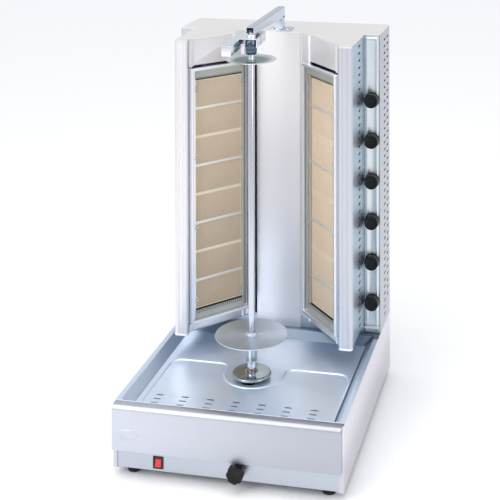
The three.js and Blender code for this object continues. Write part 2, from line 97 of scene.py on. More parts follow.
def round_poly(pts, r, k=3):
    """rounds the corners of a polygon; r may be one number or one per corner."""
    n = len(pts)
    rs = r if isinstance(r, (list, tuple)) else [r] * n
    out = []
    for i in range(n):
        p, a, b = Vector(pts[i]), Vector(pts[i - 1]), Vector(pts[(i + 1) % n])
        u, v = (a - p), (b - p)
        lu, lv = u.length, v.length
        u, v = u / lu, v / lv
        ang = math.acos(max(-1, min(1, u.dot(v))))
        if rs[i] <= 0 or abs(ang - math.pi) < 0.05:
            out.append((p.x, p.y))
            continue
        d = min(rs[i] / math.tan(ang / 2), lu * 0.45, lv * 0.45)
        rr = d * math.tan(ang / 2)
        c = p + (u + v).normalized() * (rr / math.sin(ang / 2))
        s, e = p + u * d, p + v * d
        a0, a1 = math.atan2(s.y - c.y, s.x - c.x), math.atan2(e.y - c.y, e.x - c.x)
        da = (a1 - a0 + math.pi) % (2 * math.pi) - math.pi
        for j in range(k + 1):
            t = a0 + da * j / k
            out.append((c.x + rr * math.cos(t), c.y + rr * math.sin(t)))
    return out


class Part:
    def __init__(self):
        self.v, self.f, self.m, self.uvf = [], [], [], {}

    def loft(self, loops, cap0=True, cap1=True, ring=False, fn=ID, mat=0):
        base, n = len(self.v), len(loops[0])
        for lp in loops:
            self.v += [fn(*p) for p in lp]
        L = len(loops)
        for j in range(L if ring else L - 1):
            a, b = base + j * n, base + ((j + 1) % L) * n
            for i in range(n):
                k = (i + 1) % n
                self.f.append((a + i, a + k, b + k, b + i))
                self.m.append(mat)
        if not ring:
            if cap0:
                self.f.append(tuple(base + i for i in reversed(range(n))))
                self.m.append(mat)
            if cap1:
                self.f.append(tuple(base + (L - 1) * n + i for i in range(n)))
                self.m.append(mat)

    def lathe(self, prof, cx, cy, seg=64, ring=False, fn=ID, mat=0):
        """profile [(radius, height)] about the line (cx, cy) along the third axis of fn."""
        self.loft([[(cx + r * math.cos(2 * math.pi * i / seg), cy + r * math.sin(2 * math.pi * i / seg), h) for i in range(seg)] for r, h in prof],
                  ring=ring, fn=fn, mat=mat)

    def rbox(self, x0, x1, y0, y1, z0, z1, r=1.0, rc=None, k=3, fn=ID, mat=0, kc=4):
        rc = r if rc is None else rc
        loops = []
        for i in range(k + 1):
            t = math.pi / 2 * i / k
            ins, z = r * (1 - math.sin(t)), z0 + r * (1 - math.cos(t))
            loops.append([(p[0], p[1], z) for p in rrect(x0 + ins, x1 - ins, y0 + ins, y1 - ins, max(rc - ins, 0.05), kc)])
        for i in range(k, -1, -1):
            t = math.pi / 2 * i / k
            ins, z = r * (1 - math.sin(t)), z1 - r * (1 - math.cos(t))
            loops.append([(p[0], p[1], z) for p in rrect(x0 + ins, x1 - ins, y0 + ins, y1 - ins, max(rc - ins, 0.05), kc)])
        self.loft(loops, fn=fn, mat=mat)

    def prism(self, pts, z0, z1, ch=0.0, fn=ID, mat=0):
        """prism over an outline, with a small chamfer made by pulling the ends towards the middle."""
        if ch:
            n = len(pts)
            ins = []
            area = sum(pts[i][0] * pts[(i + 1) % n][1] - pts[(i + 1) % n][0] * pts[i][1] for i in range(n))
            sg = 1 if area > 0 else -1
            for i in range(n):
                a, p, b = Vector(pts[i - 1]), Vector(pts[i]), Vector(pts[(i + 1) % n])
                d1, d2 = (p - a), (b - p)
                d1 = d1.normalized() if d1.length > 1e-9 else d2.normalized()
                d2 = d2.normalized() if d2.length > 1e-9 else d1
                nrm = Vector((-(d1.y + d2.y), d1.x + d2.x))
                nrm = nrm.normalized() if nrm.length > 1e-6 else Vector((-d1.y, d1.x))
                c = max(0.4, nrm.dot(Vector((-d1.y, d1.x))))
                q = p + nrm * (sg * ch / c)
                ins.append((q.x, q.y))
            loops = [[(x, y, z0) for x, y in ins], [(x, y, z0 + ch) for x, y in pts], [(x, y, z1 - ch) for x, y in pts], [(x, y, z1) for x, y in ins]]
        else:
            loops = [[(x, y, z0) for x, y in pts], [(x, y, z1) for x, y in pts]]
        self.loft(loops, fn=fn, mat=mat)

    def plate(self, outline, holes, w0, w1, fn=ID, mat=0, zf=None, extra=()):
        """flat plate with real holes."""
        verts, edges = [], []
        for lp in [outline] + list(holes):
            b = len(verts)
            verts += [Vector(p) for p in lp]
            edges += [(b + i, b + (i + 1) % len(lp)) for i in range(len(lp))]
        for line in extra:
            b = len(verts)
            verts += [Vector(p) for p in line]
            edges += [(b + i, b + i + 1) for i in range(len(line) - 1)]
        vo, eo, fo = delaunay_2d_cdt(verts, edges, [], 0, 1e-4)[:3]
        boxes = [(min(p[0] for p in h), max(p[0] for p in h), min(p[1] for p in h), max(p[1] for p in h), h) for h in holes]
        keep = []
        for t in fo:
            c = sum((vo[i] for i in t), Vector((0, 0))) / len(t)
            if not inside(c, outline):
                continue
            if any(a <= c.x <= b2 and c2 <= c.y <= d and inside(c, h) for a, b2, c2, d, h in boxes):
                continue
            ar = sum(vo[t[i]].x * vo[t[(i + 1) % len(t)]].y - vo[t[(i + 1) % len(t)]].x * vo[t[i]].y for i in range(len(t)))
            if abs(ar) < 1e-9:
                continue
            keep.append(tuple(t) if ar > 0 else tuple(reversed(t)))
        base, n = len(self.v), len(vo)
        zf = zf or (lambda x, y: 0.0)
        self.v += [fn(p.x, p.y, w0 + zf(p.x, p.y)) for p in vo] + [fn(p.x, p.y, w1 + zf(p.x, p.y)) for p in vo]
        count = {}
        for t in keep:
            self.f.append(tuple(base + n + i for i in t))
            self.f.append(tuple(base + i for i in reversed(t)))
            self.m += [mat, mat]
            for i in range(len(t)):
                e = (t[i], t[(i + 1) % len(t)])
                count[e] = count.get(e, 0) + 1
        for (a, b), c in count.items():
            if (b, a) not in count:
                self.f.append((base + a, base + b, base + n + b, base + n + a))
                self.m.append(mat)

    def tube(self, pts, r, seg=10, fn=ID, mat=0):
        """round bar along a polyline."""
        P = [Vector(p) for p in pts]
        loops = []
        up = Vector((0, 0, 1))
        for i, p in enumerate(P):
            d = (P[min(i + 1, len(P) - 1)] - P[max(i - 1, 0)]).normalized()
            a = d.cross(up)
            a = a.normalized() if a.length > 0.2 else d.cross(Vector((1, 0, 0))).normalized()
            b = d.cross(a).normalized()
            loops.append([tuple(p + a * (r * math.cos(2 * math.pi * j / seg)) + b * (r * math.sin(2 * math.pi * j / seg))) for j in range(seg)])
        self.loft(loops, fn=fn, mat=mat)


BRUSH = {"X": Vector((1, 0, 0)), "Y": Vector((0, 1, 0)), "Z": Vector((0, 0, 1))}


def piece(name, part, mats, body, replaces=(), angle=35, bevel=None, brush="X", uv=None, weighted=False):
    mats = mats if isinstance(mats, (list, tuple)) else [mats]
    me = bpy.data.meshes.new(name)
    me.from_pydata([(x / 1000, (y - YC) / 1000, z / 1000) for x, y, z in part.v], [], part.f)
    for m in mats:
        me.materials.append(m)
    me.polygons.foreach_set("material_index", part.m)
    bm = bmesh.new()
    bm.from_mesh(me)
    bmesh.ops.remove_doubles(bm, verts=bm.verts, dist=1e-6)
    bmesh.ops.dissolve_degenerate(bm, edges=bm.edges, dist=1e-7)
    bmesh.ops.recalc_face_normals(bm, faces=bm.faces)
    bm.to_mesh(me)
    bm.free()
    me.polygons.foreach_set("use_smooth", [True] * len(me.polygons))
    me.update()
    me.set_sharp_from_angle(angle=math.radians(angle))
    lay = me.uv_layers.new(name="UVMap")
    g0 = BRUSH[brush]
    alt = BRUSH["Z"] if brush != "Z" else BRUSH["X"]
    vs = me.vertices
    for p in me.polygons:
        g = g0 if abs(p.normal.dot(g0)) < 0.8 else alt
        u = (g - p.normal * p.normal.dot(g)).normalized()
        w = p.normal.cross(u)
        for li in p.loop_indices:
            co = vs[me.loops[li].vertex_index].co
            lay.data[li].uv = uv(co, p) if uv else (co.dot(u), co.dot(w))
    ob = bpy.data.objects.new(name, me)
    bpy.context.scene.collection.objects.link(ob)
    if bevel:
        bv = ob.modifiers.new("edge", "BEVEL")
        bv.width, bv.segments, bv.limit_method, bv.angle_limit = bevel / 1000, 2, "ANGLE", math.radians(40)
        bv.harden_normals = True
    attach(ob, body)
    if replaces:
        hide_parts(*replaces)
    return ob


# ------------------------------------------------------------------ materials
def lin(r, g, b):
    f = lambda c: (c / 255) / 12.92 if c / 255 <= 0.04045 else ((c / 255 + 0.055) / 1.055) ** 2.4
    return (f(r), f(g), f(b), 1.0)


class Mat:
    def __init__(self, name):
        self.m = bpy.data.materials.new(name)
        self.m.use_nodes = True
        self.nt = self.m.node_tree
        self.nt.nodes.clear()
        self.out = self.nt.nodes.new("ShaderNodeOutputMaterial")
        self.b = self.nt.nodes.new("ShaderNodeBsdfPrincipled")
        self.nt.links.new(self.b.outputs[0], self.out.inputs[0])

    def put(self, sock, val):
        if isinstance(val, bpy.types.NodeSocket):
            self.nt.links.new(val, sock)
        else:
            sock.default_value = val

    def node(self, kind, ins=None, **props):
        n = self.nt.nodes.new(kind)
        for k, v in props.items():
            setattr(n, k, v)
        for k, v in (ins or {}).items():
            self.put(n.inputs[k], v)
        return n

    def coord(self, scale, which="Object", loc=(0, 0, 0), rot=(0, 0, 0)):
        tc = self.node("ShaderNodeTexCoord")
        mp = self.node("ShaderNodeMapping", {"Vector": tc.outputs[which], "Scale": scale, "Location": loc, "Rotation": rot})
        return mp.outputs[0]

    def noise(self, vec, scale=1.0, detail=2.0, rough=0.5, dist=0.0):
        n = self.node("ShaderNodeTexNoise", {"Vector": vec, "Scale": scale, "Detail": detail, "Roughness": rough, "Distortion": dist})
        return n.outputs[0]

    def math(self, op, a, b=0.0, c=0.0, clamp=False):
        n = self.node("ShaderNodeMath", operation=op, use_clamp=clamp)
        self.put(n.inputs[0], a)
        self.put(n.inputs[1], b)
        if op in ("MULTIPLY_ADD", "SMOOTH_MIN", "COMPARE", "WRAP"):
            self.put(n.inputs[2], c)
        return n.outputs[0]

    def ramp(self, val, a, b, lo=0.0, hi=1.0, smooth=False):
        n = self.node("ShaderNodeMapRange", {"Value": val, "From Min": a, "From Max": b, "To Min": lo, "To Max": hi}, clamp=True,
                      interpolation_type="SMOOTHSTEP" if smooth else "LINEAR")
        return n.outputs[0]

    def mix(self, fac, a, b):
        n = self.node("ShaderNodeMix", data_type="RGBA")
        self.put(n.inputs[0], fac)
        self.put(n.inputs[6], a)
        self.put(n.inputs[7], b)
        return n.outputs[2]

    def bump(self, h, strength=0.2, dist=0.0005, normal=None):
        n = self.node("ShaderNodeBump", {"Height": h, "Strength": strength, "Distance": dist})
        if normal is not None:
            self.put(n.inputs["Normal"], normal)
        return n.outputs[0]

    def set(self, **kw):
        for k, v in kw.items():
            self.put(self.b.inputs[k.replace("_", " ")], v)
        return self


def steel(name, col, rough=0.28, along="X", aniso=0.5, grain=0.07, cloud=0.04, bump=0.05, uv=True, dark=0.955, wave=0.0, metal=1.0, spots=0.10, painted_light_fade=None):
    """brushed sheet: fine and coarse grain drawn along one axis, soft clouds, faint handling marks."""
    m = Mat(name)
    sc = {"X": ((7, 1100, 1100), (1.6, 170, 170)), "Y": ((1100, 7, 1100), (170, 1.6, 170)), "Z": ((1100, 1100, 7), (170, 170, 1.6))}[along]
    fine = m.noise(m.coord(sc[0]), 1.0, 2.0, 0.6)
    coarse = m.noise(m.coord(sc[1]), 1.0, 3.0, 0.6)
    clouds = m.noise(m.coord((3.1, 3.1, 3.1)), 1.0, 3.0, 0.55)
    marks = m.noise(m.coord((38, 38, 38), loc=(3, 1, 2)), 1.0, 5.0, 0.7, 0.6)
    smear = m.ramp(marks, 0.56, 0.72, 0.0, 1.0, True)
    r = m.math("MULTIPLY_ADD", m.math("SUBTRACT", fine, 0.5), grain, rough)
    r = m.math("MULTIPLY_ADD", m.math("SUBTRACT", coarse, 0.5), grain, r)
    r = m.math("MULTIPLY_ADD", m.math("SUBTRACT", clouds, 0.5), cloud * 2, r)
    r = m.math("MULTIPLY_ADD", smear, spots * 0.5, r, clamp=True)
    k = m.math("MULTIPLY_ADD", m.math("SUBTRACT", coarse, 0.5), 0.8, 0.5)
    k = m.math("MULTIPLY_ADD", m.math("SUBTRACT", clouds, 0.5), 0.7, k, clamp=True)
    c0 = tuple(x * dark for x in col[:3]) + (1,)
    c1 = tuple(min(1, x * (2 - dark)) for x in col[:3]) + (1,)
    color = m.mix(k, c0, c1)
    color = m.mix(m.math("MULTIPLY", smear, spots), color, tuple(x * 0.8 for x in col[:3]) + (1,))
    # painted light: when given, the tone blends towards a darker colour along one axis, painting in shade and
    # reflection falloff rather than a change in the steel
    if painted_light_fade:  # (axis, stops): how far the tone falls towards the second colour along one axis, in metres
        sep = m.node("ShaderNodeSeparateXYZ", {"Vector": m.node("ShaderNodeTexCoord").outputs["Object"]})
        pos, f = sep.outputs[painted_light_fade[0]], 1.0
        for a, b, lo, hi in painted_light_fade[1]:
            f = m.math("MULTIPLY", m.ramp(pos, a, b, lo, hi, True), f)
        color = m.mix(f, color, painted_light_fade[2])
    h = m.math("ADD", m.math("MULTIPLY", fine, 0.6), m.math("MULTIPLY", coarse, 0.4))
    nrm = m.bump(h, bump, 0.0004)
    if wave:
        nrm = m.bump(m.noise(m.coord((5.5, 5.5, 2.5)), 1.0, 1.0, 0.4), wave, 0.01, nrm)
    m.set(Base_Color=color, Metallic=metal, Roughness=r, Normal=nrm)
    if aniso and uv:
        t = m.node("ShaderNodeTangent", direction_type="UV_MAP")
        m.set(Anisotropic=aniso, Tangent=t.outputs[0])
    m.b.inputs["Base Color"].default_value = col
    return m.m


S_COL = lin(205, 208, 218)
steel_x = steel("steel_brushed_x", lin(200, 203, 213), 0.36, "X", 0.5)
# painted shade: the side panels blend towards a darker grey below 150 mm height, most strongly below 60 mm
steel_y = steel("steel_brushed_y", lin(224, 222, 228), 0.36, "Y", 0.5, painted_light_fade=(2, [(0.06, 0.15, 0.85, 0.0)], lin(200, 200, 206)))
steel_z = steel("steel_brushed_z", lin(186, 189, 197), 0.36, "Z", 0.4)
wall_mat = steel("steel_wing_wall", lin(178, 194, 208), 0.34, "Z", 0.35)
steel_in = steel("steel_inner_z", lin(228, 226, 229), 0.42, "Z", 0.35, grain=0.06, cloud=0.03)
strip_mat = steel("steel_channel", lin(218, 224, 226), 0.34, "Z", 0.3, grain=0.05)
steel_cad = steel("steel_satin_cad", lin(190, 196, 205), 0.38, "X", 0, uv=False)
steel_cad_z = steel("steel_satin_cad_z", S_COL, 0.36, "Z", 0, uv=False)
warm_y = steel("steel_warm_y", lin(255, 252, 247), 0.50, "X", 0.3, grain=0.06)
arm_mat = steel("steel_arm", lin(205, 213, 226), 0.24, "Y", 0.4)
# painted shade: from plan Y 463 to 475 mm the tray blends to a dark blue-grey, standing in for the shade and dark
# reflection under the wings
tray_mat = steel("tray_polished", lin(218, 230, 246), 0.34, "X", 0.2, grain=0.05, cloud=0.03, bump=0.02, wave=0.02, metal=0.7, spots=0.0, painted_light_fade=(1, [(0.138, 0.150, 0.0, 1.0)], lin(120, 134, 150)))
# painted reflection falloff: the apron's tone darkens from its left end towards its right end
apron_mat = steel("apron_brushed", lin(208, 211, 221), 0.44, "X", 0.4, painted_light_fade=(0, [(-0.29, 0.29, 0.0, 0.9)], lin(180, 183, 191)))
# painted shade: the back sheet darkens through its middle height, most between 0.5 and 0.62 m, fading out by 0.22 m and
# 0.93 m
back_mat = steel("back_sheet_steel", lin(231, 230, 231), 0.42, "Z", 0.35, grain=0.06, cloud=0.03, painted_light_fade=(2, [(0.22, 0.5, 0.0, 0.85), (0.62, 0.93, 1.0, 0.0)], lin(204, 203, 207)))
# painted light: the right fascia gets a lighter, bluer steel than the left fascia
fascia_right_lit = steel("fascia_right_painted_light", lin(250, 250, 255), 0.46, "Z", 0.3, grain=0.05)
# painted shade: the right post gets a darker copy of the post finish
post_right_shaded = steel("post_anodised_right_painted_shade", lin(203, 205, 212), 0.36, "Z", 0.4, grain=0.04, bump=0.03, dark=0.98)
post_mat = steel("post_anodised", lin(229, 228, 230), 0.36, "Z", 0.4, grain=0.04, bump=0.03, dark=0.98)
frame_mat = steel("burner_frame_steel", lin(236, 239, 244), 0.32, "Z", 0.3, grain=0.06)
dark_steel = steel("steel_dark", lin(92, 98, 106), 0.35, "Z", 0, uv=False)


def turned_steel(name, col, rough, rings=900.0, aniso=0.75, bump=0.05, cx=0.0, cy=(223.0 - YC) / 1000, core=None, core_r=0.045):
    """lathe-turned face: concentric tool marks round the spit axis, reflecting in radial sectors."""
    m = Mat(name)
    tc = m.node("ShaderNodeTexCoord")
    sep = m.node("ShaderNodeSeparateXYZ", {"Vector": tc.outputs["Object"]})
    x = m.math("SUBTRACT", sep.outputs[0], cx)
    y = m.math("SUBTRACT", sep.outputs[1], cy)
    rad = m.math("SQRT", m.math("ADD", m.math("MULTIPLY", x, x), m.math("MULTIPLY", y, y)))
    com = m.node("ShaderNodeCombineXYZ", {"X": m.math("MULTIPLY", rad, rings), "Y": m.math("MULTIPLY", sep.outputs[2], rings), "Z": 0.0})
    ring = m.noise(com.outputs[0], 1.0, 2.0, 0.7)
    clouds = m.noise(m.coord((14, 14, 14)), 1.0, 3.0, 0.6)
    r = m.math("MULTIPLY_ADD", m.math("SUBTRACT", ring, 0.5), 0.12, rough)
    r = m.math("MULTIPLY_ADD", m.math("SUBTRACT", clouds, 0.5), 0.14, r, clamp=True)
    color = m.mix(m.math("MULTIPLY_ADD", m.math("SUBTRACT", ring, 0.5), 1.2, clouds, clamp=True), tuple(c * 0.86 for c in col[:3]) + (1,), col)
    # painted shade and reflection: inside core_r of the spit axis the colour blends to the given core colour
    if core:
        color = m.mix(m.ramp(rad, core_r * 0.8, core_r * 1.25, 1.0, 0.0, True), color, core)
    t = m.node("ShaderNodeTangent", direction_type="RADIAL", axis="Z")
    m.set(Base_Color=color, Metallic=1.0, Roughness=r, Normal=m.bump(ring, bump, 0.0003), Anisotropic=aniso, Tangent=t.outputs[0])
    m.b.inputs["Base Color"].default_value = col
    return m.m


disc_mat = turned_steel("disc_turned", lin(196, 207, 220), 0.42, aniso=0.6)
# painted shade and reflection: the upper disc's teal-grey centre stands in for the head and bearing above it
disc_top_mat = turned_steel("disc_turned_upper", lin(238, 239, 240), 0.30, aniso=0.5, core=lin(138, 156, 152), core_r=0.047)
hub_mat = turned_steel("hub_polished", lin(176, 184, 184), 0.12, aniso=0.5, bump=0.03)
shaft_mat = steel("spit_polished", lin(206, 210, 222), 0.16, "Z", 0.3, grain=0.06)
sleeve_mat = steel("sleeve_satin", lin(196, 200, 210), 0.24, "Z", 0.3)


def chrome(name, col, rough=0.07):
    m = Mat(name)
    n = m.noise(m.coord((60, 60, 60)), 1.0, 4.0, 0.6)
    s = m.noise(m.coord((900, 900, 900)), 1.0, 2.0, 0.6)
    r = m.math("MULTIPLY_ADD", m.ramp(n, 0.45, 0.7), 0.08, rough)
    m.set(Base_Color=m.mix(n, tuple(c * 0.9 for c in col[:3]) + (1,), col), Metallic=1.0, Roughness=r, Normal=m.bump(s, 0.02, 0.0002))
    m.b.inputs["Base Color"].default_value = col
    return m.m


chrome_mat = chrome("chrome_polished", lin(216, 220, 230))
bearing_mat = chrome("bearing_chrome", lin(98, 118, 132), 0.10)
# painted shade and reflection: a darker teal steel for the inner faces of the head's prongs
prong_in = steel("prong_inner_painted_shade", lin(128, 150, 160), 0.30, "Y", 0.2)


def plastic(name, col, rough=0.34, coat=0.25, grain=2200.0, bump=0.10, dust=0.05):
    m = Mat(name)
    g = m.noise(m.coord((grain,) * 3), 1.0, 2.0, 0.6)
    c = m.noise(m.coord((45, 45, 45)), 1.0, 4.0, 0.6)
    up = m.node("ShaderNodeNewGeometry")
    sep = m.node("ShaderNodeSeparateXYZ", {"Vector": up.outputs["Normal"]})
    du = m.math("MULTIPLY", m.ramp(sep.outputs[2], 0.2, 1.0), m.math("MULTIPLY", c, dust))
    # painted highlight: convex edges, found by pointiness, are lightened in the colour
    edge = m.ramp(up.outputs["Pointiness"], 0.52, 0.60, 0.0, 0.25)
    color = m.mix(du, col, lin(150, 150, 150))
    color = m.mix(edge, color, tuple(min(1, x * 3 + 0.02) for x in col[:3]) + (1,))
    r = m.math("MULTIPLY_ADD", m.math("SUBTRACT", c, 0.5), 0.18, rough)
    m.set(Base_Color=color, Roughness=r, Coat_Weight=coat, Coat_Roughness=0.2, Normal=m.bump(g, bump, 0.0003))
    m.b.inputs["Base Color"].default_value = col
    return m.m


black_mat = plastic("black_moulded", lin(17, 20, 25), 0.42, 0.12, dust=0.02)
knob_mat = plastic("knob_black", lin(9, 12, 14), 0.36, 0.0, dust=0.01)
knob_mat.node_tree.nodes["Principled BSDF"].inputs["Specular IOR Level"].default_value = 0.28
rubber_mat = plastic("rubber_black", lin(22, 22, 23), 0.75, 0.0, 1200, 0.25, 0.25)
white_mark = plastic("pointer_white", lin(225, 226, 224), 0.5, 0.0)
grey_cap = plastic("cap_grey", lin(196, 203, 201), 0.45, 0.1)
white_cap = plastic("cap_pale", lin(236, 238, 240), 0.38, 0.2)


def red_rocker():
    m = Mat("rocker_red")
    n = m.noise(m.coord((160, 160, 160)), 1.0, 3.0, 0.5)
    # painted shade: layer weight darkens the red towards the rocker's outline, where the surface turns away from view
    rim_shade_weight = m.node("ShaderNodeLayerWeight", {"Blend": 0.35})
    col = m.mix(n, lin(205, 30, 24), lin(226, 52, 38))
    col = m.mix(rim_shade_weight.outputs["Facing"], col, lin(150, 10, 12))
    # painted glow: a faint red emission brightens the rocker
    m.set(Base_Color=col, Roughness=m.math("MULTIPLY_ADD", n, 0.08, 0.16), Coat_Weight=0.6, Coat_Roughness=0.06, Subsurface_Weight=0.25,
          Subsurface_Radius=(0.004, 0.001, 0.001), Emission_Color=lin(226, 30, 20), Emission_Strength=0.12,
          Normal=m.bump(m.noise(m.coord((1600,) * 3), 1.0, 1.0), 0.04, 0.0003))
    m.b.inputs["Base Color"].default_value = lin(205, 38, 30)
    return m.m


red_mat = red_rocker()


def ceramic(name, col):
    """burner tile face: UV holds millimetres across and up one tile, so the pressed grooves and fine holes follow the
    tile.
    """
    m = Mat(name)
    tc = m.node("ShaderNodeTexCoord")
    sep = m.node("ShaderNodeSeparateXYZ", {"Vector": tc.outputs["UV"]})
    u, v = sep.outputs[0], sep.outputs[1]
    # diagonal pressed grooves
    d = m.math("ADD", u, m.math("MULTIPLY", v, 1.1))
    gro = m.math("SINE", m.math("MULTIPLY", d, 2 * math.pi / 9.4))
    gro = m.ramp(gro, -1.0, 0.1, 1.0, 0.0, True)
    # hexagonal rows of flame holes
    hx = m.math("FRACT", m.math("MULTIPLY", m.math("ADD", u, m.math("MULTIPLY", v, 0.8)), 1 / 2.7))
    hy = m.math("FRACT", m.math("MULTIPLY", m.math("SUBTRACT", m.math("MULTIPLY", u, 0.8), v), 1 / 2.9))
    hx, hy = m.math("SUBTRACT", hx, 0.5), m.math("SUBTRACT", hy, 0.5)
    hole = m.math("SQRT", m.math("ADD", m.math("MULTIPLY", hx, hx), m.math("MULTIPLY", hy, hy)))
    hole = m.ramp(hole, 0.18, 0.30, 1.0, 0.0, True)
    big = m.noise(m.coord((30, 30, 30)), 1.0, 4.0, 0.6)
    grit = m.noise(m.coord((1500, 1500, 1500)), 1.0, 3.0, 0.7)
    base = m.mix(big, tuple(c * 0.9 for c in col[:3]) + (1,), tuple(min(1, c * 1.08) for c in col[:3]) + (1,))
    # painted shade: the pressed grooves are darkened in the colour as well as bumped
    base = m.mix(m.math("MULTIPLY", gro, 0.48), base, tuple(c * 0.55 for c in col[:3]) + (1,))
    # painted shade: each flame hole is a dark spot painted into the colour as well as bumped
    base = m.mix(m.math("MULTIPLY", hole, 0.55), base, tuple(c * 0.25 for c in col[:3]) + (1,))
    base = m.mix(m.math("MULTIPLY", grit, 0.15), base, tuple(min(1, c * 1.25) for c in col[:3]) + (1,))
    base = m.mix(m.ramp(v, 272.0, 904.0, 0.26, 0.0), base, tuple(c * 0.45 for c in col[:3]) + (1,))
    h = m.math("SUBTRACT", m.math("MULTIPLY", grit, 0.3), m.math("ADD", m.math("MULTIPLY", hole, 0.8), m.math("MULTIPLY", gro, 0.7)))
    m.set(Base_Color=base, Roughness=0.85, Normal=m.bump(h, 0.5, 0.0008))
    m.b.inputs["Base Color"].default_value = col
    return m.m


tile_mat = ceramic("ceramic_tile", lin(210, 191, 167))
# painted light: the right burner's tiles get a lighter copy of the same ceramic
tile_mat_right_lit = ceramic("ceramic_tile_right_painted_light", lin(234, 212, 186))



def rough_metal(name, col, rough, metal, scale=260.0, bump=0.25):
    m = Mat(name)
    n = m.noise(m.coord((scale,) * 3), 1.0, 5.0, 0.65)
    c = m.noise(m.coord((16, 16, 16)), 1.0, 4.0, 0.6)
    color = m.mix(c, tuple(x * 0.78 for x in col[:3]) + (1,), tuple(min(1, x * 1.15) for x in col[:3]) + (1,))
    m.set(Base_Color=color, Metallic=metal, Roughness=m.math("MULTIPLY_ADD", m.math("SUBTRACT", n, 0.5), 0.25, rough), Normal=m.bump(n, bump, 0.0006))
    m.b.inputs["Base Color"].default_value = col
    return m.m


cast_mat = rough_metal("cast_grey_paint", lin(78, 82, 88), 0.6, 0.2)
brass_mat = rough_metal("brass_machined", lin(196, 160, 88), 0.32, 1.0, 500.0, 0.08)
copper_ring = rough_metal("bronze_ring", lin(176, 112, 62), 0.34, 1.0, 500.0, 0.08)
# painted shade: a dark grey for recesses, used on the trough floor, behind the gauze and tiles and on the outermost
# fluted bar
recess_shade_mat = rough_metal("recess_painted_shade", lin(60, 64, 66), 0.55, 0.4)
gasket_mat = plastic("gasket_fibre", lin(232, 216, 172), 0.9, 0.0, 900, 0.4, 0.05)
mesh_mat = rough_metal("gauze_steel", lin(178, 182, 176), 0.5, 0.4, 700.0, 0.15)
# painted shade: pinkish-grey standing in for the shaded end of the right tiles
shade_strip_mat = rough_metal("strip_painted_shade", lin(196, 180, 166), 0.5, 0.5, 500.0, 0.15)
lip_mat = steel("strip_pale", lin(232, 233, 231), 0.52, "X", 0.2)

# carried-over CAD nodes: edges eased by a modifier, and a procedural finish each
KEEP = {
    "base_rear_panel": (steel_cad, 0.5), "base_bottom_plate": (steel_cad, 0.4), "control_panel": (steel_cad, 0.4),
    "drawer_runner_right": (steel_cad, 0.3), "drawer_runner_left": (steel_cad, 0.3),
    "carriage_rails": (steel_cad, 0.5), "carriage": (steel_cad, 0.6), "gear_motor": (cast_mat, 2.0), "lock_rod": (steel_cad, 0.4),
    "column_rear_panel": (steel_cad_z, 0.5), "column_floor": (steel_cad, 0.4), "column_front_left": (steel_cad_z, 0.4),
    "burner_plenum_right": (cast_mat, 1.5), "burner_plenum_left": (cast_mat, 1.5),
    "gas_manifold": (brass_mat, 0.5), "gas_inlet": (brass_mat, 0.5), "cable_gland": (black_mat, 0.6),
}
for node, (mt, width) in KEEP.items():
    o = NODES[node]
    o.data.materials.clear()
    o.data.materials.append(mt)
    bv = o.modifiers.new("edge", "BEVEL")
    bv.width, bv.segments, bv.limit_method, bv.angle_limit = width / 1000, 2, "ANGLE", math.radians(40)

# ------------------------------------------------------------------ shared dimensions
TP = B("tray_pan")
HW, RIM = TP[3], TP[5]
TOP = B("top_plate")[5]
ZT = B("wing_side_right")[5]
PA, PB = (204.0, 344.0), (94.0, 470.0)
UL = math.hypot(PB[0] - PA[0], PB[1] - PA[1])
UX, UY = (PB[0] - PA[0]) / UL, (PB[1] - PA[1]) / UL
NX, NY = -UY, UX
SY = (B("spit_shaft")[1] + B("spit_shaft")[4]) / 2


def pan(a, n):
    return (PA[0] + UX * a + NX * n, PA[1] + UY * a + NY * n)


def PF(s):
    """(a, z, n) in the burner plane to plan millimetres"""
    return lambda a, z, n: (s * (PA[0] + UX * a + NX * n), PA[1] + UY * a + NY * n, z)


def XF(s):
    """(y, z, w) to a plate square to X"""
    return lambda u, v, w: (s * w, u, v)


YF = lambda u, v, w: (u, w, v)  # (x, z, y)

# ------------------------------------------------------------------ base
for s, side in ((1, "right"), (-1, "left")):
    b = B(f"base_side_{side}")
    z0, z1, y1 = b[2], b[5], b[4]
    p = Part()
    out = round_poly([(HW, y1), (HW, 0), (279, 0), (279, 1.5), (HW - 1.5, 1.5), (HW - 1.5, y1)], [0, 3.2, 0, 0, 1.7, 0], 5)
    p.prism(out, z0, z1, 0.3, fn=lambda x, y, z, s=s: (s * x, y, z))
    p.rbox(270, HW - 0.6, 1.0, y1 - 0.5, z0, z0 + 1.5, 0.5, fn=lambda x, y, z, s=s: (s * x, y, z))
    piece(f"side_panel_{side}", p, steel_y, "frame", (f"base_side_{side}",), brush="Y")

for n in ("foot_front_right", "foot_rear_right", "foot_front_left", "foot_rear_left"):
    b = B(n)
    p = Part()
    cx, cy = (b[0] + b[3]) / 2, (b[1] + b[4]) / 2
    p.lathe([(10, 0.9), (13.6, 0.0), (15.6, 0.5), (16.6, 2.0), (16.9, 4.5), (16.4, 6.2), (16.4, 8.0), (17.0, 9.2), (17.0, b[5] - 1.2), (16.2, b[5])], cx, cy, 40)
    piece("rubber_" + n, p, rubber_mat, "frame", (n,))

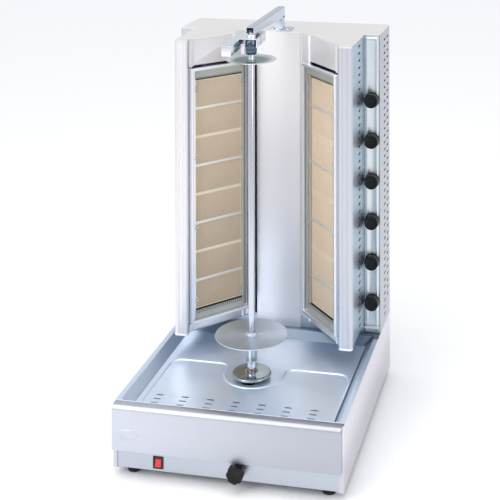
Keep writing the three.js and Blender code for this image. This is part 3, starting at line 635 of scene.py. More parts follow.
# front apron with fat drawer
b = B("fat_drawer")
fy, fz0 = b[1], b[2]
p = Part()
R, T = 12.0, 1.5
prof = [(fy, fz0 + 0.8), (fy, RIM - R)]
for i in range(1, 11):
    a = math.pi - math.pi / 2 * i / 10
    prof.append((fy + R + R * math.cos(a), RIM - R + R * math.sin(a)))
prof += [(11.4, RIM), (11.9, RIM - 0.3), (12.0, RIM - 0.9), (11.9, RIM - T)]
for i in range(10, -1, -1):
    a = math.pi - math.pi / 2 * i / 10
    prof.append((fy + R + (R - T) * math.cos(a), RIM - R + (R - T) * math.sin(a)))
prof += [(fy + T, fz0 + T + 1.2), (fy + T + 1.2, fz0 + T), (-1.0, fz0 + T), (-1.0, fz0), (fy + 1.0, fz0), (fy + 0.3, fz0 + 0.2)]
apx = 287.0
p.loft([[(x, y, z) for y, z in prof] for x in (-apx + 0.0, -apx + 0.4, apx - 0.4, apx)])
for s in (-1, 1):
    p.rbox(*(sorted((s * 285.4, s * 286.8))), fy + 0.8, -1.2, fz0 + 0.6, RIM - R + 1.0, 0.5)
# trough
TX, TY0, TY1, TZ0, TZ1 = 226, -3, 132, 86, 140
o = lambda g, z: [(x, y, z) for x, y in rrect(-TX + g, TX - g, TY0 + g, TY1 - g, max(9 - g, 1), 5)]
p.loft([o(5, TZ0), o(1.5, TZ0 + 1.5), o(0, TZ0 + 5), o(0, TZ1 - 0.4), o(0.4, TZ1), o(1.1, TZ1), o(1.5, TZ1 - 0.4), o(1.5, TZ0 + 5.2), o(3, TZ0 + 2.6), o(6, TZ0 + 1.5)])
p.rbox(-220, 220, fy + T - 0.2, TY0 + 0.6, 128, 129.5, 0.4)
# painted shade: dark sheet on the trough floor, seen through the drain slots
p.rbox(-222, 222, TY0 + 3.5, TY1 - 3.5, TZ0 + 2.0, TZ0 + 3.2, 0.4, mat=1)
# blank oval badge pressed into the apron
bx, bz = -245, 111
el = lambda g, y: [(bx + (25 - g) * math.cos(2 * math.pi * i / 48), y, bz + (13 - g) * math.sin(2 * math.pi * i / 48)) for i in range(48)]
p.loft([el(0, fy + 0.6), el(0, fy - 0.05), el(0.8, fy - 0.8), el(1.8, fy - 1.0), el(2.8, fy - 0.7), el(3.6, fy - 0.15), el(4.4, fy - 0.1), el(8, fy - 0.45), el(12.5, fy - 0.7)])
piece("apron_and_drawer", p, [apron_mat, recess_shade_mat], "drawer", ("fat_drawer",), brush="X")

# ------------------------------------------------------------------ drip tray
p = Part()
y0, y1 = TP[1], TP[4]
rows = [(290, y0, y1, 2.5, 178.8), (290, y0, y1, 2.5, 179.5), (289.5, y0 + 0.5, y1 - 0.5, 2.5, 180.0), (279.2, 14.5, 491.0, 9, 180.0),
        (277.4, 16.2, 489.3, 11, 179.7), (276.2, 17.4, 488.1, 12, 178.8), (275.4, 18.3, 487.2, 12, 177.4),
        (253.4, 42.2, 470.2, 15, 152.8), (251.8, 43.7, 468.6, 15, 150.6), (249.6, 45.6, 466.4, 14, 149.6), (247, 48, 464, 13, 149.5),
        (247, 48, 464, 13, 148.0), (250.2, 45.0, 467.2, 14, 148.1), (252.9, 42.6, 469.8, 15, 149.4), (254.9, 40.9, 471.6, 15, 152.2),
        (276.9, 16.9, 488.7, 12, 176.8), (277.9, 15.7, 489.8, 11, 178.1), (279.4, 14.4, 491.2, 9, 178.5), (288.6, y0 + 1.4, y1 - 1.4, 2, 178.5)]
p.loft([[(x, y, z) for x, y in rrect(-X, X, a, c, r, 6)] for X, a, c, r, z in rows], ring=True)
p.plate(rrect(-249, 249, 46, 466, 14, 4), [rrect(-18, 18, SY - 44, SY + 44, 8, 4), rrect(-214, 214, 50, 112, 8, 4)], 148.0, 149.5)
piece("drip_tray", p, tray_mat, "frame", ("tray_pan",), brush="X")

# lift-out floor, pressed: raised behind, round the hub and along both edges
FX0, FX1, FY0, FY1 = -249.6, 256.6, 44.5, 457.5
LOWC, LOWX, LOWY, LOWR = 6.0, 241.0, 286.5, 30.0


def sd(x, y):
    hy = (LOWY + 260) / 2
    qx, qy = abs(x - LOWC) - (LOWX - LOWR), abs(y - (LOWY - hy)) - (hy - LOWR)
    low = math.hypot(max(qx, 0), max(qy, 0)) + min(max(qx, qy), 0) - LOWR
    a, c = -low, math.hypot(x, y - 245.5) - 79.0
    k = 40.0
    h = max(0.0, min(1.0, 0.5 + 0.5 * (c - a) / k))
    return c * (1 - h) + a * h - k * h * (1 - h)


def grad(x, y, e=0.05):
    gx, gy = (sd(x + e, y) - sd(x - e, y)) / (2 * e), (sd(x, y + e) - sd(x, y - e)) / (2 * e)
    l = math.hypot(gx, gy) or 1
    return gx / l, gy / l


def trace(c):
    lo, hi = LOWC - LOWX - 4.9, LOWC - LOWX + 40
    for _ in range(50):
        mid = (lo + hi) / 2
        if sd(mid, FY0) < c:
            lo = mid
        else:
            hi = mid
    x, y = (lo + hi) / 2, FY0
    pts = [(x, y)]
    for _ in range(900):
        gx, gy = grad(x, y)
        tx, ty = -gy, gx  # low side on the right when going back
        if len(pts) == 1 and ty < 0:
            tx, ty = -tx, -ty
        if len(pts) > 1:
            px, py = pts[-1][0] - pts[-2][0], pts[-1][1] - pts[-2][1]
            if tx * px + ty * py < 0:
                tx, ty = -tx, -ty
        x, y = x + tx * 3.2, y + ty * 3.2
        for _ in range(3):
            d = sd(x, y) - c
            gx, gy = grad(x, y)
            x, y = x - gx * d, y - gy * d
        if x > 0 and y < FY0 + 1.0:
            pts.append((x, FY0 + 0.3))
            break
        pts.append((x, y))
    pts[0] = (pts[0][0], FY0 + 0.3)
    return pts


HI = 2.8
offs = [-1.9, -1.4, -0.9, -0.3, 0.3, 0.9, 1.4, 1.9]
lines = [trace(c) for c in offs]


def fz(x, y):
    d = sd(x, y)
    t = max(0.0, min(1.0, (1.9 - d) / 3.8))
    return HI * t * t * (3 - 2 * t)


slots = [slot_pts(-203 + 66.8 * c, 54 + 20.25 * r, 19.5, 5.0, 5) for c in range(7) for r in range(3)]
hub_hole = rrect(-17, 17, SY - 43, SY + 43, 10, 5)
p = Part()
p.plate(rrect(FX0, FX1, FY0, FY1, 5, 4), slots + [hub_hole], 159.4, 160.8, zf=fz, extra=lines)
for s in (-1, 1):
    p.rbox(*sorted((s * 242.1, s * 243.7)), 50, 455, 151.6, 160.2 if s > 0 else 162.6, 0.4)
piece("tray_floor_pressed", p, tray_mat, "frame", ("tray_floor",), brush="X", angle=50)

# ------------------------------------------------------------------ switch
b = B("switch_bezel")
p = Part()
cx0, cx1, cz0, cz1 = b[0], b[3], b[2], b[5]
o = lambda g, y, r: [(x, y, z) for x, z in rrect(cx0 + g, cx1 - g, cz0 + g, cz1 - g, r, 4)]
p.loft([o(0, 1.7, 2.2), o(0, 0.6, 2.2), o(0.6, -0.2, 2.0), o(1.2, -0.3, 1.8), o(3.6, -0.3, 1.0), o(4.6, 0.9, 0.8), o(4.8, 20, 0.8), o(3.2, 24, 1.0), o(3.0, 1.7, 1.0)], ring=True)
piece("switch_surround", p, black_mat, "frame", ("switch_bezel",))
b = B("switch_rocker")
p = Part()
rz0, rz1, rx0, rx1 = 33, 51, -181.2, -165.8
rows = []
for i in range(9):
    t = i / 8
    z = rz0 + (rz1 - rz0) * t
    y = (-2.2 + 2.9 * t) if t > 0.5 else (-2.4 + 3.3 * t)
    y = min(max(-2.3 + 3.4 * t, -2.3), 1.1) - 0.5 * math.exp(-((t - 0.08) * 6) ** 2)
    rows.append((z, y))
loops = []
for x, ins in ((rx0, 0.8), (rx0 + 0.5, 0.2), (rx0 + 1.2, 0.0), (rx1 - 1.2, 0.0), (rx1 - 0.5, 0.2), (rx1, 0.8)):
    loops.append([(x, y + ins, z) for z, y in rows] + [(x, 8, rz1), (x, 8, rz0)])
p.loft(loops)
piece("rocker_red", p, red_mat, "rocker", ("switch_rocker",), angle=50)

# ------------------------------------------------------------------ lock knob (eight lobes)
b = B("lock_knob")
kx, kz = (b[0] + b[3]) / 2, (b[2] + b[5]) / 2
p = Part()
N = 96


def lobe(sc, y, depth=0.9, k=8):
    return [(kx + (20.4 * sc + depth * sc * math.cos(k * 2 * math.pi * i / N)) * math.cos(2 * math.pi * i / N), y,
             kz + (20.4 * sc + depth * sc * math.cos(k * 2 * math.pi * i / N)) * math.sin(2 * math.pi * i / N)) for i in range(N)]


yb, yf = b[4], b[1]
p.loft([lobe(0.90, yb), lobe(0.98, yb - 1.2), lobe(1.0, yb - 3), lobe(1.0, yf + 4), lobe(0.985, yf + 2.2), lobe(0.95, yf + 0.9), lobe(0.90, yf + 0.25),
        lobe(0.84, yf + 0.0, 1.2), lobe(0.62, yf + 0.0, 0.3), lobe(0.58, yf + 0.5, 0), lobe(0.2, yf + 0.7, 0)])
piece("carriage_lock_knob", p, knob_mat, "lock_screw", ("lock_knob",), angle=40)

# ------------------------------------------------------------------ gas knobs
for i in range(1, 7):
    b = B(f"gas_knob_{i}")
    cx, cz = (b[0] + b[3]) / 2, (b[2] + b[5]) / 2
    yf, yb = b[1], 499.0
    K = lambda x, z, h: (x, -h, z)
    p = Part()
    p.lathe([(19.4, -yb), (20.9, -(yb - 0.5)), (21.0, -(yb - 2.0)), (20.5, -(yb - 3.0)), (19.7, -(yb - 3.3)), (19.6, -(yb - 4.2)), (19.9, -(yb - 5.0)), (19.3, -(yf + 3.4)), (19.0, -(yf + 1.9)),
             (18.3, -(yf + 0.8)), (17.2, -(yf + 0.35)), (16.2, -(yf + 0.35)), (15.7, -(yf + 0.7)), (8, -(yf + 0.75)), (0.6, -(yf + 0.75))], cx, cz, 72, fn=K)
    p.rbox(cx - 0.8, cx + 0.8, cz + 8.0, cz + 14.6, -(yf + 1.0), -(yf + 0.45), 0.15, rc=0.6, fn=K)
    p.lathe([(4.5, -515.6), (4.5, -(yb - 1))], cx, cz, 24, fn=K)
    piece(f"control_knob_{i}", p, knob_mat, f"knob_{i}", (f"gas_knob_{i}",), angle=40)

# ------------------------------------------------------------------ drive, hub, spit
b = B("hub_disc")
hr, hz0, hz1 = b[3], b[2], b[5]
p = Part()
p.lathe([(13.0, hz0), (hr - 6, hz0), (hr - 3, hz0 + 0.6), (hr - 0.8, hz0 + 2.0), (hr, hz0 + 3.6), (hr, hz0 + 5.4), (hr - 0.5, hz0 + 6.9), (hr - 1.7, hz0 + 8.0), (hr - 3.6, hz0 + 8.7),
         (hr - 6, hz0 + 9.0), (24, hz1 - 0.6), (20, hz1 - 0.1), (18, hz1), (13.6, hz1), (13.0, hz1 - 0.6)], 0, SY, 96, ring=True)
piece("hub_plate", p, hub_mat, "drive", ("hub_disc",), angle=50)
b = B("drive_shaft")
p = Part()
zt = b[5]
p.lathe([(12.0, b[2]), (12.0, 172.8), (12.6, 173.4), (12.6, 176.4), (11.2, 177.0), (11.0, 184.0), (10.4, 184.6), (10.4, 187.4), (11.0, 188.0), (11.0, zt - 1.2), (10.2, zt), (8.9, zt), (8.4, zt - 0.6), (8.4, 188.5)], 0, SY, 48)
p.lathe([(10.2, 184.8), (11.6, 185.2), (11.8, 186.0), (11.6, 186.9), (10.2, 187.3)], 0, SY, 48, mat=1)
piece("spit_socket", p, [chrome_mat, copper_ring], "drive", ("drive_shaft",))
b = B("spit_shaft")
p = Part()
p.lathe([(6.6, b[2]), (8.0, b[2] + 1.6), (8.0, b[5] - 5.0), (7.2, b[5] - 3.4), (5.0, b[5] - 0.4), (4.2, b[5])], 0, SY, 48)
piece("spit_rod", p, shaft_mat, "spit", ("spit_shaft",), brush="Z")
b = B("spit_sleeve")
p = Part()
z0, z1 = b[2], b[5]
p.lathe([(8.3, z0 + 0.3), (12.6, z0), (13.6, z0 + 1.0), (13.7, z0 + 4), (13.3, z0 + 4.6), (13.3, z0 + 6), (13.7, z0 + 6.6), (13.7, z1 - 1.0), (12.8, z1), (8.3, z1)], 0, SY, 48, ring=True)
piece("disc_sleeve", p, sleeve_mat, "spit", ("spit_sleeve",), brush="Z")
b = B("lower_disc")
r, z0, zc = b[3], b[2], b[5]
p = Part()
p.lathe([(8.3, z0), (60, z0 + 0.4), (r - 2, z0 + 1.0), (r - 0.4, z0 + 1.4), (r, z0 + 2.2), (r - 0.4, z0 + 3.0), (r - 1.6, z0 + 3.4), (r - 3.2, z0 + 3.2), (r - 4.5, z0 + 2.9), (18, z0 + 3.4), (16.2, z0 + 3.9),
         (15.2, z0 + 5.4), (14.9, zc - 0.8), (14.0, zc), (8.9, zc), (8.3, zc - 0.5)], 0, SY, 128, ring=True)
piece("meat_disc_lower", p, disc_mat, "spit", ("lower_disc",), angle=50)
b = B("upper_disc")
r, z0, z1 = b[3], b[2], b[5]
p = Part()
p.lathe([(8.3, z0), (20, z0), (r - 6, z0 + 5.4), (r - 1, z0 + 6.6), (r, z0 + 7.3), (r - 0.3, z0 + 7.9), (r - 1.3, z0 + 8.2), (r - 3.5, z0 + 7.6), (42, z0 + 4.8), (22, z0 + 2.1), (16, z0 + 1.9), (13.6, z0 + 2.4),
         (13.0, z0 + 6.0), (12.3, z0 + 6.9), (8.9, z0 + 7.0), (8.3, z0 + 6.6)], 0, SY, 112, ring=True)
piece("meat_disc_upper", p, disc_top_mat, "spit", ("upper_disc",), angle=50)

# ------------------------------------------------------------------ top steady
b = B("top_arm")
ay0, ay1, az1 = b[1], 530.0, 1074.0
az0, hw, t = 1047.0, 11.0, 1.8
prof = []
for cx, a0 in ((hw - 3.2, 0), (-hw + 3.2, 90)):
    for i in range(6):
        a = math.radians(a0 + 90 * i / 5)
        prof.append((cx + 3.2 * math.cos(a), az1 - 3.2 + 3.2 * math.sin(a)))
prof = [(hw, az0)] + prof + [(-hw, az0), (-hw + t, az0)]
for cx, a0 in ((-hw + 3.2, 180), (hw - 3.2, 90)):
    for i in range(4):
        a = math.radians(a0 - 90 * i / 3)
        prof.append((cx + (3.2 - t) * math.cos(a), az1 - 3.2 + (3.2 - t) * math.sin(a)))
prof.append((hw - t, az0))
st = [ay0, ay0 + 0.8, ay1 - 0.8, ay1]


def arm_z(y, z):
    f = (y - ay0) / (ay1 - ay0)
    lo, hi = 1058.0 - 8.0 * f, 1075.5 + 4.5 * f
    return lo + (z - az0) / (az1 - az0) * (hi - lo)


p = Part()
n = len(prof)
for y in st:
    p.v += [(x, y, arm_z(y, z)) for x, z in prof]
for j in range(len(st) - 1):
    for i in range(n):
        k = (i + 1) % n
        p.f.append((j * n + i, j * n + k, (j + 1) * n + k, (j + 1) * n + i))
        p.m.append(0)
for j, rev in ((0, True), (len(st) - 1, False)):
    half = prof.index((-hw, az0))
    # end faces between outer and inner wall, as strips
    outer = list(range(0, half + 1))
    inner = list(range(n - 1, half, -1))
    # match by walking both chains
    a = c = 0
    while a < len(outer) - 1 or c < len(inner) - 1:
        da = Vector(prof[outer[min(a + 1, len(outer) - 1)]])
        dc = Vector(prof[inner[min(c + 1, len(inner) - 1)]])
        pa, pc = Vector(prof[outer[a]]), Vector(prof[inner[c]])
        if c >= len(inner) - 1 or (a < len(outer) - 1 and (da - pc).length <= (dc - pa).length):
            tri = (outer[a], outer[a + 1], inner[c])
            a += 1
        else:
            tri = (outer[a], inner[c + 1], inner[c])
            c += 1
        p.f.append(tuple(j * n + q for q in tri))
        p.m.append(0)
# lips either side of the slot underneath, then the closed floor
for xa, xb, ya, yb3 in ((-9.6, -4.3, ay0, 246.0), (4.3, 9.6, ay0, 246.0), (-9.6, 9.6, 246.0, 509.0)):
    p.loft([[(xa, y, arm_z(y, az0)), (xb, y, arm_z(y, az0)), (xb, y, arm_z(y, az0) + 2.0), (xa, y, arm_z(y, az0) + 2.0)] for y in (ya, yb3)])
# upright and foot
p.rbox(-11, 11, 508.5, 530.0, 1014.6, 1056, 1.6, rc=1.8, mat=0)
p.rbox(-32, 32, 503, 560, TOP + 0.3, TOP + 3.3, 0.7, rc=4, mat=0)
for sx in (-22, 22):
    for y in (516, 548):
        p.lathe([(4.6, TOP + 3.2), (4.6, TOP + 4.6), (3.6, TOP + 5.8), (1.6, TOP + 6.2)], sx, y, 24, mat=1)
piece("steady_arm", p, [arm_mat, chrome_mat], "frame", ("top_arm",), brush="Y", angle=40)

p = Part()
zc0, zc1 = 1019.0, 1044.0
RISE = 0.0435  # the head rises towards the rear
top = round_poly([(-46, 112), (-21, 112), (-21, 200), (19.2, 200), (19.2, 296), (-58, 296), (-58, 246), (-46, 246)], [3, 3, 3, 4, 4, 5, 5, 2], 4)
p.plate(top, [circle(0, SY, 4.5, 20), slot_pts(-44, 262, 14, 3.2), slot_pts(-33.5, 126, 9, 3.0)], zc1 - 2.2, zc1)
for x0, x1, ya, yb2 in ((-46, -44, 113, 249), (-23, -21, 113, 249), (-45, -22, 112, 114), (-58, 19.2, 246, 249.4), (-57.4, -55.4, 248, 295), (17.2, 19.2, 248, 295), (-57, 19, 294, 296), (16.2, 19.2, 212, 250)):
    p.rbox(x0, x1, ya, yb2, zc0, zc1 - 1.0, 0.5)
# painted shade and reflection: thin teal liners inside the prongs and under the head's top
for x0, x1, ya, yb2, za, zb2 in ((-44.1, -43.8, 114, 248, zc0 + 0.6, zc1 - 2.4), (-23.2, -22.9, 114, 248, zc0 + 0.6, zc1 - 2.4), (-44, -23, 114, 248, zc1 - 2.6, zc1 - 2.3),
                                  (-55.5, -55.2, 249, 294, zc0 + 0.6, zc1 - 2.4), (17.0, 17.3, 249, 294, zc0 + 0.6, zc1 - 2.4), (-55, 17, 249, 294, zc1 - 2.6, zc1 - 2.3),
                                  (-55, 17, 293.8, 294.1, zc0 + 0.6, zc1 - 2.4)):
    p.rbox(x0, x1, ya, yb2, za, zb2, 0.1, mat=1)
p.v = [(x, y, z + RISE * (y - 112)) for x, y, z in p.v]
p.lathe([(4.5, 1047.8), (11.3, 1047.8), (11.5, 1048.2), (11.5, 1056.2), (11.1, 1056.6), (4.5, 1056.6)], 0, SY, 48, ring=True)
head_mat = steel("head_polished", lin(240, 242, 247), 0.17, "Y", 0.2, grain=0.05)
piece("steady_head", p, [head_mat, prong_in], "steady", ("clamp_head",), brush="Y", bevel=0.5)
b = B("top_bearing")
z0, z1 = b[2], b[5]
p = Part()
p.lathe([(8.3, z0), (11.6, z0), (13.4, z0 + 1.2), (14.6, z0 + 3.4), (15.2, z0 + 8), (15.6, z0 + 12), (14.2, z0 + 13), (14.2, z0 + 14.4), (15.6, z0 + 15.4), (15.6, z0 + 24), (14.2, z0 + 25), (14.2, z0 + 26.4), (15.4, z0 + 27.4),
         (14.9, z0 + 32), (13.6, z1 - 1.6), (12.4, z1 - 0.2), (8.3, z1 - 0.1)], 0, SY, 56, ring=True)
piece("bearing_cup", p, bearing_mat, "steady", ("top_bearing",), angle=40)
b = B("clamp_bolt")
p = Part()
zb = b[5]
p.lathe([(4.0, b[2]), (4.0, 1061.4)], 0, SY, 24)
p.lathe([(4.1, 1060.2), (8.5, 1060.2), (8.8, 1060.5), (8.8, 1061.3), (8.5, 1061.6), (4.1, 1061.6)], 0, SY, 48, ring=True, mat=0)
hexa = lambda rr, z, k=6: [(rr / max(math.cos(((2 * math.pi * i / 48) % (2 * math.pi / k)) - math.pi / k), 0.1) * math.cos(2 * math.pi * i / 48), SY + rr / max(math.cos(((2 * math.pi * i / 48) % (2 * math.pi / k)) - math.pi / k), 0.1) * math.sin(2 * math.pi * i / 48), z) for i in range(48)]
rnd = lambda rr, z: [(rr * math.cos(2 * math.pi * i / 48), SY + rr * math.sin(2 * math.pi * i / 48), z) for i in range(48)]
p.loft([hexa(6.6, 1061.5), hexa(6.8, 1061.8), hexa(6.8, zb - 1.3), rnd(6.9, zb - 0.3), rnd(6.2, zb), rnd(3.6, zb), rnd(3.3, zb - 1.4), rnd(0.5, zb - 1.4)], mat=1)
piece("steady_clamp_bolt", p, [chrome_mat, dark_steel], "steady_bolt", ("clamp_bolt",), angle=30)

# ------------------------------------------------------------------ column shell
PITCH = 19.55
for s, side in ((1, "right"), (-1, "left")):
    b = B(f"column_side_{side}")
    y0, y1, z0, z1 = b[1], b[4], b[2], b[5]
    holes = []
    k = 0
    z = z0 + 24.0
    while z < z1 - 22:
        holes.append(slot_pts(y0 + 78, z, 25, 5.2, 4))
        if z > z0 + 50:
            holes.append(slot_pts(y0 + 126, z, 25, 5.2, 4))
        z += PITCH
    p = Part()
    p.plate([(y0, z0), (y1, z0), (y1, z1), (y0, z1)], holes, HW - 1.5, HW, fn=XF(s))
    p.rbox(*sorted((s * 281, s * (HW - 0.8))), y1 - 3.3, y1 - 1.8, z0, z1, 0.4)
    piece(f"rear_box_side_{side}", p, steel_z, "frame", (f"column_side_{side}",), brush="Z", bevel=0.35)

    # wing outer wall with its slots, and the wing underside
    b = B(f"wing_side_{side}")
    wx, y0, z0, z1 = max(abs(b[0]), abs(b[3])), b[1], b[2], b[5]
    holes = []
    z = z0 + 20
    while z < z1 - 16:
        holes.append(slot_pts(430, z, 27, 5.2, 4))
        z += PITCH
    p = Part()
    p.plate([(y0, z0), (560, z0), (560, z1), (y0, z1)], holes, wx - 1.5, wx, fn=XF(s))
    fl = [(wx - 0.7, y0), (wx - 0.7, 560), (150, 560), (69.7, 506), pan(UL + 4, -2), pan(0, -2), (209, y0)]
    if s < 0:
        fl = [(-x, y) for x, y in reversed(fl)]
    p.plate(fl, [], z0, z0 + 1.5)
    piece(f"wing_wall_{side}", p, wall_mat, "frame", (f"wing_side_{side}",), brush="Z", bevel=0.35)

    # corner post: rounded extrusion with shallow flutes, moulded end caps
    b = B(f"post_{side}")
    xa, xb = sorted((abs(b[0]), abs(b[3])))
    ya, yb = b[1], b[4]
    z0, z1 = b[2], b[5]
    front = []
    for gx in (xa + 11.5, xa + 24.0):
        front += [(gx - 1.4, ya), (gx - 0.7, ya + 0.7), (gx + 0.7, ya + 0.7), (gx + 1.4, ya)]
    out = []
    for i in range(7):
        a = math.radians(180 + 90 * i / 6)
        out.append((xa + 6 + 6 * math.cos(a), ya + 6 + 6 * math.sin(a)))
    out += front
    for i in range(9):
        a = math.radians(-90 + 90 * i / 8)
        out.append((xb - 10 + 10 * math.cos(a), ya + 10 + 10 * math.sin(a)))
    out += [(xb, yb), (xa, yb)]
    p = Part()
    p.prism(out, z0 + 3.5, z1 - 2.2, 0, fn=lambda x, y, z, s=s: (s * x, y, z))
    cap = lambda g: rrect(xa - 0.7 + g, xb + 0.7 - g, ya - 0.7 + g, yb + 0.0 - g * 0.3, 8.5 - g, 6)
    F = lambda x, y, z, s=s: (s * x, y, z)
    zz = [(2.2, z0 - 0.6), (0.9, z0 - 0.2), (0.2, z0 + 0.9), (0, z0 + 2.2), (0, z0 + 5.0), (0.4, z0 + 5.6)]
    p.loft([[(x, y, z) for x, y in cap(g)] for g, z in zz], fn=F, mat=1)
    zz = [(0.9, z1 - 4.4), (0.2, z1 - 4.0), (0.2, z1 - 1.2), (0.9, z1 - 0.3), (2.4, z1 + 0.0)]
    p.loft([[(x, y, z) for x, y in cap(g)] for g, z in zz], fn=F, mat=2)
    # painted shade: the right post takes the darker copy of the post finish
    piece(f"corner_post_{side}", p, [post_mat if s < 0 else post_right_shaded, white_cap, grey_cap], "frame", (f"post_{side}",), brush="Z")

    # fascia round the burner opening, hinge post and strip to the back plate
    zt = ZT
    b = B(f"wing_fascia_{side}")
    zl = b[2]
    p = Part()
    fn = PF(s)
    p.rbox(-6, UL - 4, 939.5, zt, -4.0, -2.5, 0.45, fn=fn)
    p.rbox(-5.5, UL - 4.5, 939.5, 941, -10, -2.9, 0.4, fn=fn)
    for q0, q1 in ((938.5, zt - 0.5), (zl + 1, 235.5)):
        p.rbox(-8.6, 5.0, q0, q1, 0.6, 2.4, 0.5, fn=fn)
        p.rbox(3.4, 5.2, q0, q1, -2.6, 3.4, 0.5, fn=fn)
    p.rbox(-6, UL - 4, zl, 235, -4.0, -2.5, 0.45, fn=fn)
    p.rbox(-6, 1, zl, zt, -4.0, -2.3, 0.6, fn=fn)
    p.rbox(-2.6, 0.9, zl, zt, -2.6, 0.2, 0.5, fn=fn)
    hx, hy = pan(UL + 1, -6)
    p.lathe([(5.2, zl - 1.6), (6.6, zl - 0.6), (7.0, zl + 1.2), (7.0, zt - 1.2), (6.6, zt - 0.3)], s * hx, hy, 32)
    f0, f1 = pan(UL + 6, -7), pan(UL + 6, -5.5)
    q = [f1, f0, (70.1, 497.5), (68.8, 496.2)]
    if s < 0:
        q = [(-x, y) for x, y in reversed(q)]
    p.prism(q, zl, zt, 0)
    # painted light: the right fascia takes the lighter steel, the left one the plain inner steel
    piece(f"wing_fascia_panel_{side}", p, fascia_right_lit if s > 0 else steel_in, "frame", (f"wing_fascia_{side}",), brush="Z")

    # hinged burner panel: deep folded rim, window sheet, gauze strips, fluted side bars, spring clips
    b = B(f"burner_frame_{side}")
    z0, z1 = b[2], b[5]
    a0, a1 = -9.0, UL + 13.0
    ring = [(0.0, 2.2, 2.5), (0.0, 14.8, 2.5), (0.35, 15.7, 2.3), (1.1, 16.0, 2.0), (6.0, 16.0, 1.6), (6.8, 15.7, 1.4), (7.2, 14.9, 1.2), (7.2, 5.0, 1.2), (8.2, 3.6, 1.0),
            (8.2, 2.2, 1.0)]
    p = Part()
    p.loft([[(x, y, nn) for x, y in rrect(a0 + g, a1 - g, z0 + g, z1 - g, rr, 4)] for g, nn, rr in ring], ring=True, fn=fn)
    p.plate(rrect(a0 + 0.6, a1 - 0.6, z0 + 0.6, z1 - 0.6, 2, 3), [rrect(9.8, UL - 7.8, 262.5, 910.5, 1.5, 3)], 2.1, 3.5, fn=fn)
    # gauze strips above and below the tiles
    for za, zb3, row in ((903.5, 925.0, (905.6,)), (247.0, 269.5, (262.4, 266.8))):
        holes = []
        cols = int((UL - 8 - 12) / 6.4)
        for zr in row:
            for c in range(cols):
                holes.append(rrect(13 + 6.4 * c, 16.6 + 6.4 * c, zr - 1.5, zr + 1.5, 1.0, 2))
        p.plate(rrect(9.4, UL - 7.4, za, zb3, 0.8, 2), holes, 4.4, 5.1, fn=fn, mat=1)
        # painted shade: dark sheet behind the gauze holes
        p.rbox(9.8, UL - 7.8, za + 0.4, zb3 - 0.4, 3.6, 4.0, 0.15, fn=fn, mat=3)
    # fluted bars at the inner end of the tiles
    # painted shade: the outermost bar, at UL + 1.4, is in the dark recess colour
    for ca, bar in ((UL - 5.4, 1), (UL - 2.0, 1), (UL + 1.4, 3)):
        p.rbox(ca - 1.2, ca + 1.2, z0 + 9, z1 - 9, 3.2, 6.0, 1.0, fn=fn, mat=bar)
    # painted shade: on the right only, three bars over the tile edge carry the pinkish-grey of the tile's shaded end
    if s > 0:
        for ca in (UL - 19.0, UL - 15.2, UL - 11.4):
            p.rbox(ca - 1.7, ca + 1.7, 270.5, 902.5, 2.4, 4.2, 0.8, fn=fn, mat=4)
    for cz in (300.0, 500.0, 690.0, 875.0):
        for ca, d in ((UL - 6.0, -1), (8.4, 1)):
            p.tube([(ca, cz - 6, 4.0), (ca, cz - 5.6, 7.0), (ca + d * 5, cz - 5, 7.6), (ca + d * 8.4, cz, 6.2), (ca + d * 5, cz + 5, 7.6), (ca, cz + 5.6, 7.0), (ca, cz + 6, 4.0)], 0.8, 8, fn=fn, mat=2)
    piece(f"burner_panel_{side}", p, [frame_mat, mesh_mat, chrome_mat, recess_shade_mat, shade_strip_mat], f"burner_{side}", (f"burner_frame_{side}",), brush="Z")

    # eight ceramic tiles with their cover strips
    b = B(f"tile_pack_{side}")
    tz0, tz1 = 272.0, 900.0
    tp = (tz1 - tz0) / 8
    p = Part()
    ta0, ta1 = 10.1, UL - 8.1
    # painted shade: dark backing sheet behind the tiles, seen in the gaps between them
    p.rbox(ta0, ta1, 268.2, 904.2, -2.5, -0.4, 0.4, fn=fn, mat=1)
    for i in range(8):
        za, zb3 = tz0 + tp * i + 1.4, tz0 + tp * (i + 1) - 1.4
        p.rbox(ta0, ta1, za, zb3, -1.0, 1.2, 0.5, rc=1.2, fn=fn, mat=3)
        p.rbox(ta0 + 2.6, ta1 - 2.6, za + 2.6, zb3 - 2.6, 0.2, 1.45, 0.25, rc=0.8, fn=fn, mat=0)
    for i in range(1, 8):
        zc = tz0 + tp * i
        if i % 2 == 1:
            p.rbox(ta0, ta1, zc - 3.6, zc + 3.6, 1.2, 3.0, 0.5, fn=fn, mat=2)
        else:
            p.rbox(ta0, ta1, zc - 1.5, zc + 1.5, -0.6, 1.7, 0.3, fn=fn, mat=2)
    # painted light: the right tiles take the lighter copy of the ceramic
    ob = piece(f"burner_tiles_{side}", p, [tile_mat if s < 0 else tile_mat_right_lit, recess_shade_mat, lip_mat, gasket_mat], f"burner_{side}", (f"tile_pack_{side}",), brush="X",
               uv=lambda co, pl, s=s: (((s * co.x * 1000 - PA[0]) * UX + (co.y * 1000 + YC - PA[1]) * UY), co.z * 1000))

# back plate with folded edges
b = B("back_plate")
bx1, y0, z0, z1 = 63.7, b[1], b[2], b[5]
p = Part()
p.rbox(-bx1, bx1, z0, z1, y0, y0 + 1.5, 0.5, fn=YF)
for s in (-1, 1):
    p.rbox(*sorted((s * (bx1 - 1.5), s * bx1)), z0, z1, y0 + 0.4, y0 + 5.5, 0.5, fn=YF)
p.rbox(-bx1 + 0.5, bx1 - 0.5, y0 + 0.5, 505.8, z0, z0 + 1.5, 0.5)
p.rbox(-b[3], b[3], y0 + 3.0, y0 + 4.5, z0, 211.0, 0.4, mat=1)
p.rbox(62.5, 73.0, 214.5, z1 - 1.0, y0 + 1.3, y0 + 2.5, 0.3, fn=YF)
piece("back_sheet", p, [back_mat, wall_mat], "frame", ("back_plate",), brush="Z")

